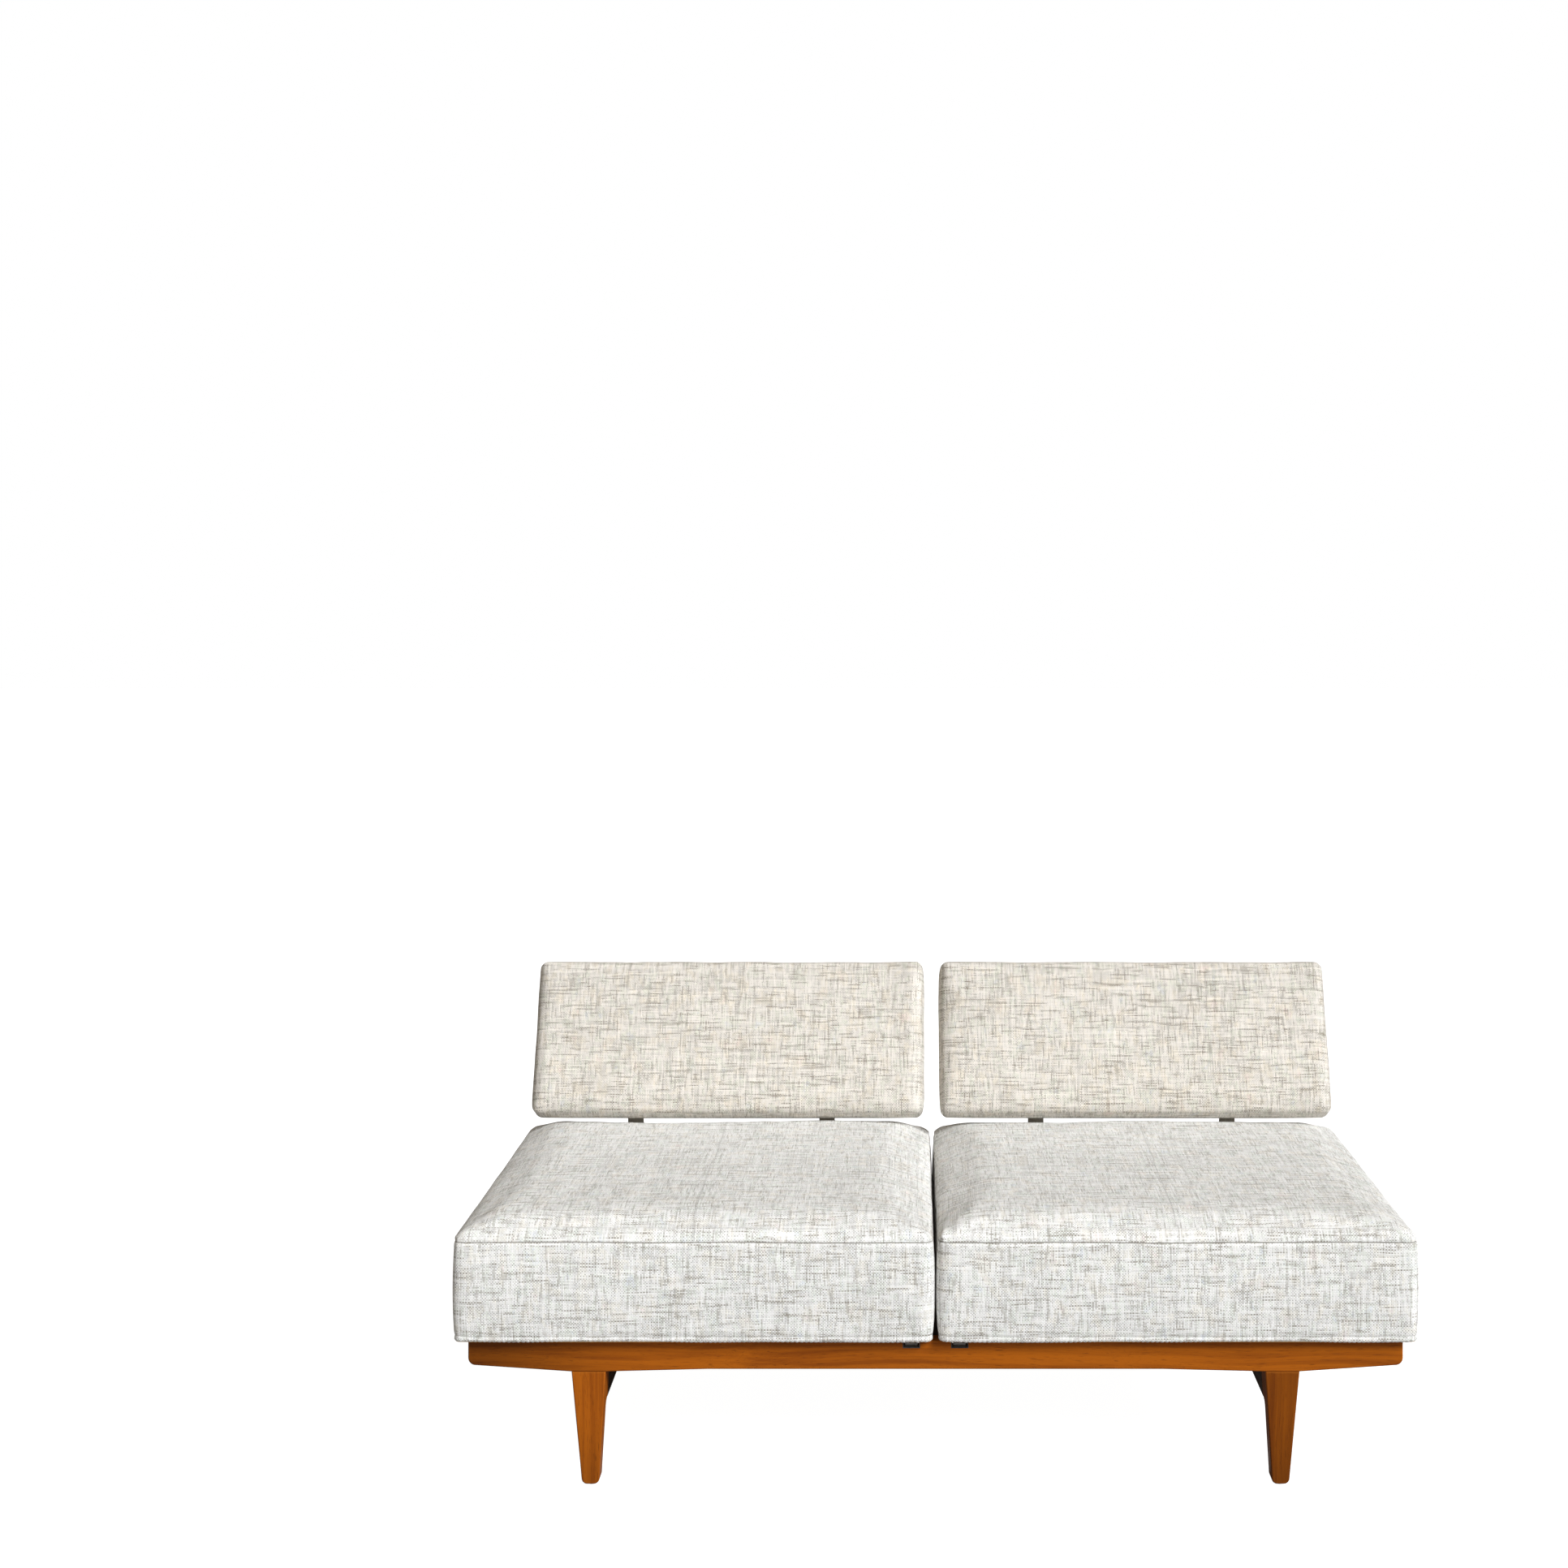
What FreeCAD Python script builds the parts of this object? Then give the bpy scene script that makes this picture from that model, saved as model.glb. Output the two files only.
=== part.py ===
"""Two-seat daybed: a cherry rail frame on tapered legs, two spring seats that slide apart
along the rails, and two padded backrests whose steel arms lift out of sockets behind.

Millimetres. +X is to the right for someone who faces the front, +Y is to the back and +Z
is up; left and right in the names are meant that way too. The origin is on the floor, at
the middle of the whole object's box. Places along Y are first given as depths, measured
back from the front face of the seats.
"""

import FreeCAD, Part
import math
import os

from FreeCAD import Vector

# ---------------------------------------------------------------- driving sizes
# Seats
SEAT_WIDTH = 772.0          # one seat, over its cover
SEAT_DEPTH = 752.0          # front face to back face
SEAT_GAP = 6.0              # between the two seats when they are closed
SEAT_CORNER = 14.0          # radius of the cover's upright corners
COVER_THICKNESS = 3.0
FLANGE_WIDTH = 12.0         # the cover is turned under the base by this much
FLANGE_THICKNESS = 2.0
CROWN = 35.0                # height of the top above its seam
CROWN_INSET = 80.0          # how far the flat of the crown stays inside the seam
CROWN_CORNER = 60.0         # radius of that flat's corners
CROWN_STEPS = 5
TOPPER_EDGE = 26.0          # felt to seam
SLIDE_TRAVEL = 295.0        # each seat slides out by this much

# Seat base and filling
BASE_RAIL_WIDTH = 60.0
BASE_RAIL_HEIGHT = 30.0
SLAT_WIDTH = 70.0
SLAT_THICKNESS = 10.0
SLAT_BEARING = 24.0         # each slat end lies on its base rail by this much
DUST_COVER_LAP = 14.0       # the cloth under the base laps its rails by this much
DUST_COVER_THICKNESS = 1.0
SPRING_HEIGHT = 84.0        # between the centres of the end turns' wire
SPRING_RADIUS = 40.0
SPRING_WAIST = 27.0
SPRING_WIRE = 2.8
SPRING_TURNS = 4
SPRING_PITCH = 150.0
BORDER_WIRE = 4.0
BORDER_WIRE_CORNER = 30.0
FELT_THICKNESS = 6.0
BORDER_PAD = 22.0

# Rail frame
RAIL_THICKNESS = 28.0
RAIL_HEIGHT = 50.0          # at the legs, where it is deepest
RAIL_MIDDLE_LIFT = 4.0      # its underside is this much higher in the middle
RAIL_EASE = 165.0           # from a leg to where the middle's straight underside begins
RAIL_END_LIFT = 11.0        # and this much higher at the ends
RAIL_END_CORNER = 12.0
RAIL_EDGE = 2.5
RAIL_END_SETBACK = 22.0     # from the seats' outer faces to the rail ends
FRONT_OVERHANG = 22.0       # from the seats' front face to the front rail
RUNNER_THICKNESS = 4.0
RUNNER_WIDTH = 20.0
STRETCHER_WIDTH = 40.0
STRETCHER_HEIGHT = 28.0

# Legs
LEG_TOP_HEIGHT = 184.0      # floor to the rail's underside at the legs
LEG_TOP_WIDTH = 55.0
LEG_OUTER_TAPER = 17.0
LEG_INNER_TAPER = 10.5
LEG_THICKNESS = 34.0
LEG_END_INSET = 166.5       # from the rail end to the outer edge of the leg
LEG_EDGE = 2.5
LEG_FOOT_CORNER = 9.0
SHOULDER_DEPTH = 48.0       # front to back, where the leg meets the cross rail
SHOULDER_RADIUS = 14.0
CROSS_RAIL_HEIGHT = 57.0
CROSS_RAIL_THICKNESS = 28.0
CROSS_RAIL_SETBACK = 3.0    # from the leg's inner edge
GLIDE_HEIGHT = 3.0
GLIDE_RADIUS = 8.0
GLIDE_PIN_RADIUS = 1.5
GLIDE_PIN_LENGTH = 14.0
DOWEL_RADIUS = 5.0
DOWEL_HALF = 20.0           # length of a dowel in each of its two pieces
DOWEL_SPACING = 24.0
DOWEL_CLEARANCE = 0.1

# Hold-down hooks, in a groove and a drop-in notch of each long rail
HOOK_CENTRE = 39.0          # from the middle of the frame, seats closed
HOOK_WIDTH = 20.0
HOOK_THICKNESS = 3.0
HOOK_PLATE = 54.0           # long enough for both screws to clear the base's joint
HOOK_SCREW_SPACING = 22.0
NOTCH_SIDE = 4.0            # each side of the hook
NOTCH_DEPTH = 12.0
GROOVE_DEPTH = 16.0
FOOT_CLEARANCE = 1.2        # under the hook's foot, at its tip and behind its web
FOOT_LIFT = 1.8             # over the hook's foot
LINER_THICKNESS = 1.5

# Backrests
BACK_WIDTH = 740.0
BACK_GAP = 34.0             # between the two backrests
BACK_LENGTH = 288.0         # along the slope
BACK_THICKNESS = 70.0
BACK_LEAN = 22.5            # degrees from upright
BACK_EDGE = 12.0
BACK_STAND_IN = 102.0       # its lower front edge is this far in from the seats' back face
BACK_CLEARANCE = 4.5        # from the seats' crowns to its lowest line
BACK_COVER = 3.0
PANEL_THICKNESS = 10.0
PANEL_INSET = 10.0          # of the panel, inside the cover's outer faces
ARM_SPACING = 370.0
ARM_WIDTH = 30.0
ARM_THICKNESS = 6.0
ARM_TOP = 240.0             # along the slope, from the lower edge
ARM_BEND = 18.0
ARM_END_CORNER = 8.0
ARM_SCREWS = 3
ARM_SCREW_END = 16.0        # from the arm's top to its top screw
ARM_SCREW_FOOT = 28.0       # from the bend to its lowest screw
ARM_SCREW_RADIUS = 3.0
ARM_SCREW_HEAD_RADIUS = 6.0
ARM_SCREW_HEAD_HEIGHT = 3.0
SOCKET_PLATE = 8.0
SOCKET_EAR = 18.0           # of the plate, each side of the sleeve
SOCKET_PLATE_HEIGHT = 38.0
SOCKET_WALL = 3.0
SOCKET_HEIGHT = 58.0
SOCKET_CLEARANCE = 0.5      # each side of the arm
SOCKET_TOP_DROP = 4.0       # the socket's top is this much under the rail's top

SCREW_RADIUS = 2.0          # wood screws of the hooks and sockets
SCREW_LENGTH = 20.0
SCREW_HEAD_RADIUS = 4.0
SCREW_HEAD_HEIGHT = 2.2
FIT = 0.5                   # between fillings and what holds them
HOLE_CLEARANCE = 0.1        # round a screw's shank
WIRE_CLEARANCE = 0.1        # under a round wire that rests on something flat

# ---------------------------------------------------------------- derived sizes
RAIL_UNDER = LEG_TOP_HEIGHT
RAIL_TOP = RAIL_UNDER + RAIL_HEIGHT
BASE_UNDER = RAIL_TOP + RUNNER_THICKNESS
BASE_TOP = BASE_UNDER + BASE_RAIL_HEIGHT
SLAT_TOP = BASE_TOP + SLAT_THICKNESS
SPRING_FOOT = SLAT_TOP + SPRING_WIRE / 2 + WIRE_CLEARANCE
SPRING_TOP = SPRING_FOOT + SPRING_HEIGHT + SPRING_WIRE / 2
FELT_UNDER = SPRING_TOP + FIT
FELT_TOP = FELT_UNDER + FELT_THICKNESS
SEAM_HEIGHT = FELT_TOP + TOPPER_EDGE
COVER_UNDER = BASE_UNDER - FLANGE_THICKNESS

LEAN = math.radians(BACK_LEAN)
BACK_FRONT_DEPTH = SEAT_DEPTH - BACK_STAND_IN
BACK_FRONT_HEIGHT = (
    SEAM_HEIGHT
    + CROWN
    + BACK_CLEARANCE
    + (BACK_THICKNESS - BACK_EDGE) * math.sin(LEAN)
    + BACK_EDGE * (1 - math.cos(LEAN))
)
OVERALL_DEPTH = (
    BACK_FRONT_DEPTH
    + (BACK_LENGTH - BACK_EDGE) * math.sin(LEAN)
    + (BACK_THICKNESS - BACK_EDGE) * math.cos(LEAN)
    + BACK_EDGE
)
SEAT_INNER = SEAT_GAP / 2                 # x of the right seat's inner face
SEAT_OUTER = SEAT_INNER + SEAT_WIDTH
SEAT_CENTRE = (SEAT_INNER + SEAT_OUTER) / 2
RAIL_HALF = SEAT_OUTER - RAIL_END_SETBACK
LEG_OUTER = RAIL_HALF - LEG_END_INSET
LEG_INNER = LEG_OUTER - LEG_TOP_WIDTH
LEG_CENTRE = (LEG_OUTER + LEG_INNER) / 2
FRONT_RAIL_INNER = FRONT_OVERHANG + RAIL_THICKNESS
REAR_RAIL_INNER = SEAT_DEPTH - RAIL_THICKNESS
NOTCH_WIDTH = HOOK_WIDTH + 2 * NOTCH_SIDE
NOTCH_FLOOR = RAIL_TOP - NOTCH_DEPTH
GROOVE_HEIGHT = FOOT_CLEARANCE + HOOK_THICKNESS + FOOT_LIFT
FOOT_UNDER = NOTCH_FLOOR + FOOT_CLEARANCE
ARM_FRONT = SEAT_DEPTH + SOCKET_PLATE + SOCKET_CLEARANCE
SOCKET_TOP = RAIL_TOP - SOCKET_TOP_DROP
SOCKET_UNDER = SOCKET_TOP - SOCKET_HEIGHT
SLEEVE_HALF = ARM_WIDTH / 2 + SOCKET_CLEARANCE + SOCKET_WALL
BACK_CENTRE = BACK_GAP / 2 + BACK_WIDTH / 2
# The backrest's lower rear corner, if it were sharp, and the arm's bend up its slope
BACK_HEEL_DEPTH = BACK_FRONT_DEPTH + BACK_THICKNESS * math.cos(LEAN)
BACK_HEEL_HEIGHT = BACK_FRONT_HEIGHT - BACK_THICKNESS * math.sin(LEAN)
ARM_BEND_PLACE = (ARM_FRONT - BACK_HEEL_DEPTH) / math.sin(LEAN)


# ---------------------------------------------------------------- helpers
def at_depth(depth):
    """Y of a depth measured from the seats' front face."""
    return depth - OVERALL_DEPTH / 2


def box(x, depth, z):
    """A block between pairs of x, depth and z."""
    return Part.makeBox(
        x[1] - x[0],
        depth[1] - depth[0],
        z[1] - z[0],
        Vector(x[0], at_depth(depth[0]), z[0]),
    )


def rounded_wire(corners, place):
    """A closed wire through corners (u, v, radius), each rounded by a tangent arc.
    place turns (u, v) into a point."""
    edges, ends = [], []
    count = len(corners)
    for i, (u, v, radius) in enumerate(corners):
        here = Vector(u, v, 0)
        back = Vector(*corners[i - 1][:2], 0) - here
        on = Vector(*corners[(i + 1) % count][:2], 0) - here
        back.normalize()
        on.normalize()
        if radius <= 0:
            ends.append((here, here, here))
            continue
        half = back.getAngle(on) / 2
        reach = radius / math.tan(half)
        middle = back + on
        middle.normalize()
        crown = here + middle * (radius / math.sin(half) - radius)
        ends.append((here + back * reach, crown, here + on * reach))
    for i, (start, crown, end) in enumerate(ends):
        if (end - start).Length > 1e-6:
            edges.append(
                Part.Arc(*[place(p.x, p.y) for p in (start, crown, end)]).toShape()
            )
        following = ends[(i + 1) % count][0]
        if (following - end).Length > 1e-6:
            line = Part.LineSegment(place(end.x, end.y), place(following.x, following.y))
            edges.append(line.toShape())
    return Part.Wire(edges)


def across_depth(corners, depth):
    """An outline in x and z, carried from depth[0] to depth[1]."""
    wire = rounded_wire(corners, lambda x, z: Vector(x, at_depth(depth[0]), z))
    return Part.Face(wire).extrude(Vector(0, depth[1] - depth[0], 0))


def across_width(corners, x):
    """An outline in depth and z, carried from x[0] to x[1]."""
    wire = rounded_wire(corners, lambda depth, z: Vector(x[0], at_depth(depth), z))
    return Part.Face(wire).extrude(Vector(x[1] - x[0], 0, 0))


def seat_wire(inset, z, corner):
    """The right seat's plan at height z, drawn in by inset, with rounded corners."""
    x = (SEAT_INNER + inset, SEAT_OUTER - inset)
    y = (inset, SEAT_DEPTH - inset)
    corners = [(x[0], y[0]), (x[1], y[0]), (x[1], y[1]), (x[0], y[1])]
    return rounded_wire(
        [(u, v, corner) for u, v in corners], lambda u, v: Vector(u, at_depth(v), z)
    )


def seat_block(inset, z):
    """The right seat's plan, drawn in by inset, between two heights."""
    face = Part.Face(seat_wire(inset, z[0], SEAT_CORNER - inset))
    return face.extrude(Vector(0, 0, z[1] - z[0]))


def crowned_seat(inset, under):
    """The right seat's outer shape drawn in by inset: a block up to the seam, then a crown
    whose edge rises along a quarter of an ellipse."""
    seam = SEAM_HEIGHT - inset
    wires = []
    for step in range(CROWN_STEPS + 1):
        angle = step / CROWN_STEPS * math.pi / 2
        share = 1 - math.cos(angle)
        reach = inset + (CROWN_INSET - inset) * share
        corner = (SEAT_CORNER - inset) * (1 - share) + CROWN_CORNER * share
        wires.append(seat_wire(reach, seam + CROWN * math.sin(angle), corner))
    return seat_block(inset, (under, seam)).fuse(Part.makeLoft(wires, True, True))


def long_edges(shape, along, least):
    """Straight edges of at least that length, nearly parallel to a direction."""
    found = []
    for edge in shape.Edges:
        if edge.Length < least or edge.Curve.TypeId != "Part::GeomLine":
            continue
        if abs(edge.tangentAt(edge.FirstParameter).dot(along)) > 0.98:
            found.append(edge)
    return found


def mirrored(shape):
    """The same piece on the other side of the middle."""
    return shape.mirror(Vector(0, 0, 0), Vector(1, 0, 0))


def turned_rear(shape):
    """A piece at the front rail, mirrored to the rear rail."""
    middle = (FRONT_OVERHANG + SEAT_DEPTH) / 2
    return shape.mirror(Vector(0, at_depth(middle), 0), Vector(0, 1, 0))


def both_sides(shape):
    return [shape, mirrored(shape)]


def group(solids):
    """Separate solids of one node."""
    return Part.makeCompound(solids)


def wire_solid(path, start, tangent, diameter):
    """A round wire along a path."""
    ring = Part.Wire([Part.makeCircle(diameter / 2, start, tangent)])
    return path.makePipeShell([ring], True, True)


def pan_screw(point, direction, radius, length, head_radius, head_height):
    """A screw whose head sits on point and whose shank runs along direction."""
    shank = Part.makeCylinder(radius, length, point, direction)
    head = Part.makeCylinder(head_radius, head_height, point - direction * head_height, direction)
    return shank.fuse(head).removeSplitter()


# ---------------------------------------------------------------- rail frame
def dowel_points():
    """Centres and directions of every dowel of the frame's right half."""
    found = []
    rail_middle = FRONT_OVERHANG + RAIL_THICKNESS / 2
    cross_middle = LEG_INNER + CROSS_RAIL_SETBACK + CROSS_RAIL_THICKNESS / 2
    cross_height = RAIL_UNDER - CROSS_RAIL_HEIGHT / 2
    for side in (-1, 1):
        offset = side * DOWEL_SPACING / 2
        for depth in (rail_middle, SEAT_DEPTH + FRONT_OVERHANG - rail_middle):
            point = Vector(LEG_CENTRE + offset, at_depth(depth), RAIL_UNDER)
            found.append((point, Vector(0, 0, 1)))
        for depth in (FRONT_OVERHANG + SHOULDER_DEPTH, SEAT_DEPTH - SHOULDER_DEPTH):
            point = Vector(cross_middle, at_depth(depth), cross_height + offset)
            found.append((point, Vector(0, 1, 0)))
    return found


def stretcher_dowel_points():
    """Centres of the stretcher's four dowels, which run front to back."""
    height = RAIL_TOP - RAIL_HEIGHT + RAIL_MIDDLE_LIFT + STRETCHER_HEIGHT / 2
    reach = RAIL_THICKNESS - GROOVE_DEPTH / 2
    found = []
    for x in (-DOWEL_SPACING / 2, DOWEL_SPACING / 2):
        for depth in (FRONT_RAIL_INNER, REAR_RAIL_INNER):
            found.append((Vector(x, at_depth(depth), height), Vector(0, 1, 0), reach))
    return found


def dowel(point, direction, clearance=0.0, half=DOWEL_HALF):
    half += clearance
    radius = DOWEL_RADIUS + clearance
    return Part.makeCylinder(radius, 2 * half, point - direction * half, direction)


def dowels(clearance=0.0):
    right = [dowel(p, d, clearance) for p, d in dowel_points()]
    middle = [
        dowel(p, d, clearance, min(DOWEL_HALF, reach))
        for p, d, reach in stretcher_dowel_points()
    ]
    return right + [mirrored(s) for s in right] + middle


def front_rail():
    """A board whose underside is deepest at the legs and lifts to the ends and the middle."""
    ends = RAIL_UNDER + RAIL_END_LIFT
    middle = RAIL_UNDER + RAIL_MIDDLE_LIFT
    waist = LEG_INNER - RAIL_EASE
    right = [
        (RAIL_HALF, RAIL_TOP, 0),
        (RAIL_HALF, ends, RAIL_END_CORNER),
        (LEG_OUTER, RAIL_UNDER, 0),
        (LEG_INNER, RAIL_UNDER, 0),
        (waist, middle, 0),
    ]
    left = [(-x, z, radius) for x, z, radius in reversed(right)]
    depth = (FRONT_OVERHANG, FRONT_RAIL_INNER)
    board = across_depth(right + left, depth)
    face = [e for e in board.Edges if abs(e.CenterOfMass.y - at_depth(depth[0])) < 1e-6]
    board = board.makeFillet(RAIL_EDGE, face)
    notch = box(
        (HOOK_CENTRE - NOTCH_WIDTH / 2, HOOK_CENTRE + NOTCH_WIDTH / 2),
        (depth[0] - 1, depth[1] + 1),
        (NOTCH_FLOOR, RAIL_TOP + 1),
    )
    groove_end = HOOK_CENTRE + HOOK_WIDTH / 2 + SLIDE_TRAVEL + FOOT_CLEARANCE
    groove = box(
        (HOOK_CENTRE, groove_end),
        (depth[1] - GROOVE_DEPTH, depth[1] + 1),
        (NOTCH_FLOOR, NOTCH_FLOOR + GROOVE_HEIGHT),
    )
    return board.cut(both_sides(notch) + both_sides(groove)).removeSplitter()


def leg():
    """The front right leg: a tapered board with a shoulder for its cross rail."""
    foot = GLIDE_HEIGHT
    front = [
        (LEG_INNER, RAIL_UNDER, 0),
        (LEG_OUTER, RAIL_UNDER, 0),
        (LEG_OUTER - LEG_OUTER_TAPER, foot, LEG_FOOT_CORNER),
        (LEG_INNER + LEG_INNER_TAPER, foot, LEG_FOOT_CORNER),
    ]
    near = FRONT_OVERHANG
    far = near + LEG_THICKNESS
    shoulder = near + SHOULDER_DEPTH
    under = RAIL_UNDER - CROSS_RAIL_HEIGHT
    side = [
        (near, RAIL_UNDER, 0),
        (near, foot, 0),
        (far, foot, 0),
        (far, under, SHOULDER_RADIUS - LEG_EDGE),
        (shoulder, under, 0),
        (shoulder, RAIL_UNDER, 0),
    ]
    board = across_depth(front, (near, shoulder))
    board = board.common(across_width(side, (LEG_INNER - 1, LEG_OUTER + 1)))
    upright = long_edges(board, Vector(0, 0, 1), LEG_TOP_HEIGHT / 2)
    board = board.makeFillet(LEG_EDGE, upright)
    pin = Part.makeCylinder(
        GLIDE_PIN_RADIUS, GLIDE_PIN_LENGTH, Vector(*leg_foot(), foot), Vector(0, 0, 1)
    )
    return board.cut(pin)


def leg_foot():
    """x and y of the middle of the front right leg's foot."""
    x = (LEG_INNER + LEG_INNER_TAPER + LEG_OUTER - LEG_OUTER_TAPER) / 2
    return x, at_depth(FRONT_OVERHANG + LEG_THICKNESS / 2)


def glide():
    """A round glide with its nail, under the front right leg."""
    x, y = leg_foot()
    pad = Part.makeCylinder(GLIDE_RADIUS, GLIDE_HEIGHT, Vector(x, y, 0), Vector(0, 0, 1))
    nail = Part.makeCylinder(
        GLIDE_PIN_RADIUS - HOLE_CLEARANCE,
        GLIDE_HEIGHT + GLIDE_PIN_LENGTH - FIT,
        Vector(x, y, 0),
        Vector(0, 0, 1),
    )
    return pad.fuse(nail).removeSplitter()


def cross_rail():
    inner = LEG_INNER + CROSS_RAIL_SETBACK
    board = box(
        (inner, inner + CROSS_RAIL_THICKNESS),
        (FRONT_OVERHANG + SHOULDER_DEPTH, SEAT_DEPTH - SHOULDER_DEPTH),
        (RAIL_UNDER - CROSS_RAIL_HEIGHT, RAIL_UNDER),
    )
    return board.makeFillet(LEG_EDGE, long_edges(board, Vector(0, 1, 0), SEAT_DEPTH / 2))


def centre_stretcher():
    under = RAIL_UNDER + RAIL_MIDDLE_LIFT
    board = box(
        (-STRETCHER_WIDTH / 2, STRETCHER_WIDTH / 2),
        (FRONT_RAIL_INNER, REAR_RAIL_INNER),
        (under, under + STRETCHER_HEIGHT),
    )
    return board.makeFillet(LEG_EDGE, long_edges(board, Vector(0, 1, 0), SEAT_DEPTH / 2))


def notch_liner():
    """The steel channel that lines the front right notch, in front of the hook."""
    half = NOTCH_WIDTH / 2
    depth = (FRONT_OVERHANG, FRONT_RAIL_INNER - GROOVE_DEPTH - FOOT_CLEARANCE)
    top = RAIL_TOP - LINER_THICKNESS
    outer = box((HOOK_CENTRE - half, HOOK_CENTRE + half), depth, (NOTCH_FLOOR, top))
    hollow = half - LINER_THICKNESS
    inner = box(
        (HOOK_CENTRE - hollow, HOOK_CENTRE + hollow),
        (depth[0] - 1, depth[1] + 1),
        (NOTCH_FLOOR + LINER_THICKNESS, top + 1),
    )
    return outer.cut(inner)


def socket_screw_points(centre):
    """Where the two screws of a socket meet its plate."""
    middle = SOCKET_TOP - SOCKET_PLATE_HEIGHT / 2
    reach = SLEEVE_HALF + SOCKET_EAR / 2
    return [
        Vector(centre + side * reach, at_depth(SEAT_DEPTH + SOCKET_PLATE), middle)
        for side in (-1, 1)
    ]


def back_socket(centre):
    """A welded sleeve on a plate, which takes one arm of a backrest."""
    half = SLEEVE_HALF + SOCKET_EAR
    plate = box(
        (centre - half, centre + half),
        (SEAT_DEPTH, SEAT_DEPTH + SOCKET_PLATE),
        (SOCKET_TOP - SOCKET_PLATE_HEIGHT, SOCKET_TOP),
    )
    inner = SLEEVE_HALF - SOCKET_WALL
    near = SEAT_DEPTH + SOCKET_PLATE
    far = near + ARM_THICKNESS + 2 * SOCKET_CLEARANCE
    sleeve = box(
        (centre - SLEEVE_HALF, centre + SLEEVE_HALF),
        (near - SOCKET_WALL, far + SOCKET_WALL),
        (SOCKET_UNDER, SOCKET_TOP),
    )
    room = box(
        (centre - inner, centre + inner),
        (near, far),
        (SOCKET_UNDER + SOCKET_WALL, SOCKET_TOP + 1),
    )
    shape = plate.fuse(sleeve).cut(room)
    holes = [
        Part.makeCylinder(
            SCREW_RADIUS + HOLE_CLEARANCE, SOCKET_PLATE + 2, p + Vector(0, 1, 0), Vector(0, -1, 0)
        )
        for p in socket_screw_points(centre)
    ]
    return shape.cut(holes).removeSplitter()


def socket_centres():
    return [BACK_CENTRE - ARM_SPACING / 2, BACK_CENTRE + ARM_SPACING / 2]


def socket_screws(clearance=0.0):
    """Every socket's wood screws on the right half, heads on the plates."""
    return [
        pan_screw(
            point,
            Vector(0, -1, 0),
            SCREW_RADIUS + clearance,
            SCREW_LENGTH + SOCKET_PLATE / 2 + clearance,
            SCREW_HEAD_RADIUS,
            SCREW_HEAD_HEIGHT,
        )
        for centre in socket_centres()
        for point in socket_screw_points(centre)
    ]


def rail_frame():
    """Nodes that stay still."""
    drilled = dowels(DOWEL_CLEARANCE)
    driven = [s for screw in socket_screws(HOLE_CLEARANCE) for s in both_sides(screw)]
    front = front_rail()
    nodes = {
        "front_rail": front.cut(drilled),
        "rear_rail": turned_rear(front).cut(drilled + driven),
        "centre_stretcher": centre_stretcher().cut(drilled),
        "frame_dowels": group(dowels()),
    }
    front_leg = leg()
    for side, place in (("right", lambda s: s), ("left", mirrored)):
        nodes[f"front_{side}_leg"] = place(front_leg).cut(drilled)
        nodes[f"rear_{side}_leg"] = place(turned_rear(front_leg)).cut(drilled)
        nodes[f"{side}_cross_rail"] = place(cross_rail()).cut(drilled)
        for which, centre in zip(("inner", "outer"), socket_centres()):
            nodes[f"{side}_{which}_back_socket"] = place(back_socket(centre))
    liners = both_sides(notch_liner())
    nodes["notch_liners"] = group(liners + [turned_rear(s) for s in liners])
    glides = both_sides(glide())
    nodes["leg_glides"] = group(glides + [turned_rear(s) for s in glides])
    nodes["socket_screws"] = group([s for screw in socket_screws() for s in both_sides(screw)])
    return nodes


# ---------------------------------------------------------------- seats
def border_reach():
    """From the centres of the outer springs to the middle of the border wire."""
    return SPRING_RADIUS + SPRING_WIRE / 2 + FIT + BORDER_WIRE / 2


def spring_steps(length):
    """Offsets from the middle of as many springs as one side of the seat takes."""
    room = length / 2 - COVER_THICKNESS - FIT - BORDER_PAD - BORDER_WIRE / 2 - border_reach()
    spaces = int(2 * room / SPRING_PITCH)
    return [(i - spaces / 2) * SPRING_PITCH for i in range(spaces + 1)]


def spring_centres():
    """Plan positions of the right seat's springs."""
    middle = at_depth(SEAT_DEPTH / 2)
    return [
        (SEAT_CENTRE + dx, middle + dy)
        for dx in spring_steps(SEAT_WIDTH)
        for dy in spring_steps(SEAT_DEPTH)
    ]


def spring():
    """One hourglass spring on the origin, wound from arcs of a third of a turn."""

    def point(turn):
        share = turn / SPRING_TURNS
        radius = SPRING_WAIST + (SPRING_RADIUS - SPRING_WAIST) * (2 * share - 1) ** 2
        angle = 2 * math.pi * turn
        return Vector(
            radius * math.cos(angle),
            radius * math.sin(angle),
            SPRING_FOOT + SPRING_HEIGHT * share,
        )

    arcs_per_turn = 3
    arcs = []
    for i in range(SPRING_TURNS * arcs_per_turn):
        start, middle, end = [(i + part) / arcs_per_turn for part in (0, 0.5, 1)]
        arcs.append(Part.Arc(point(start), point(middle), point(end)).toShape())
    tangent = arcs[0].tangentAt(arcs[0].FirstParameter)
    return wire_solid(Part.Wire(arcs), point(0), tangent, SPRING_WIRE)


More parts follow.
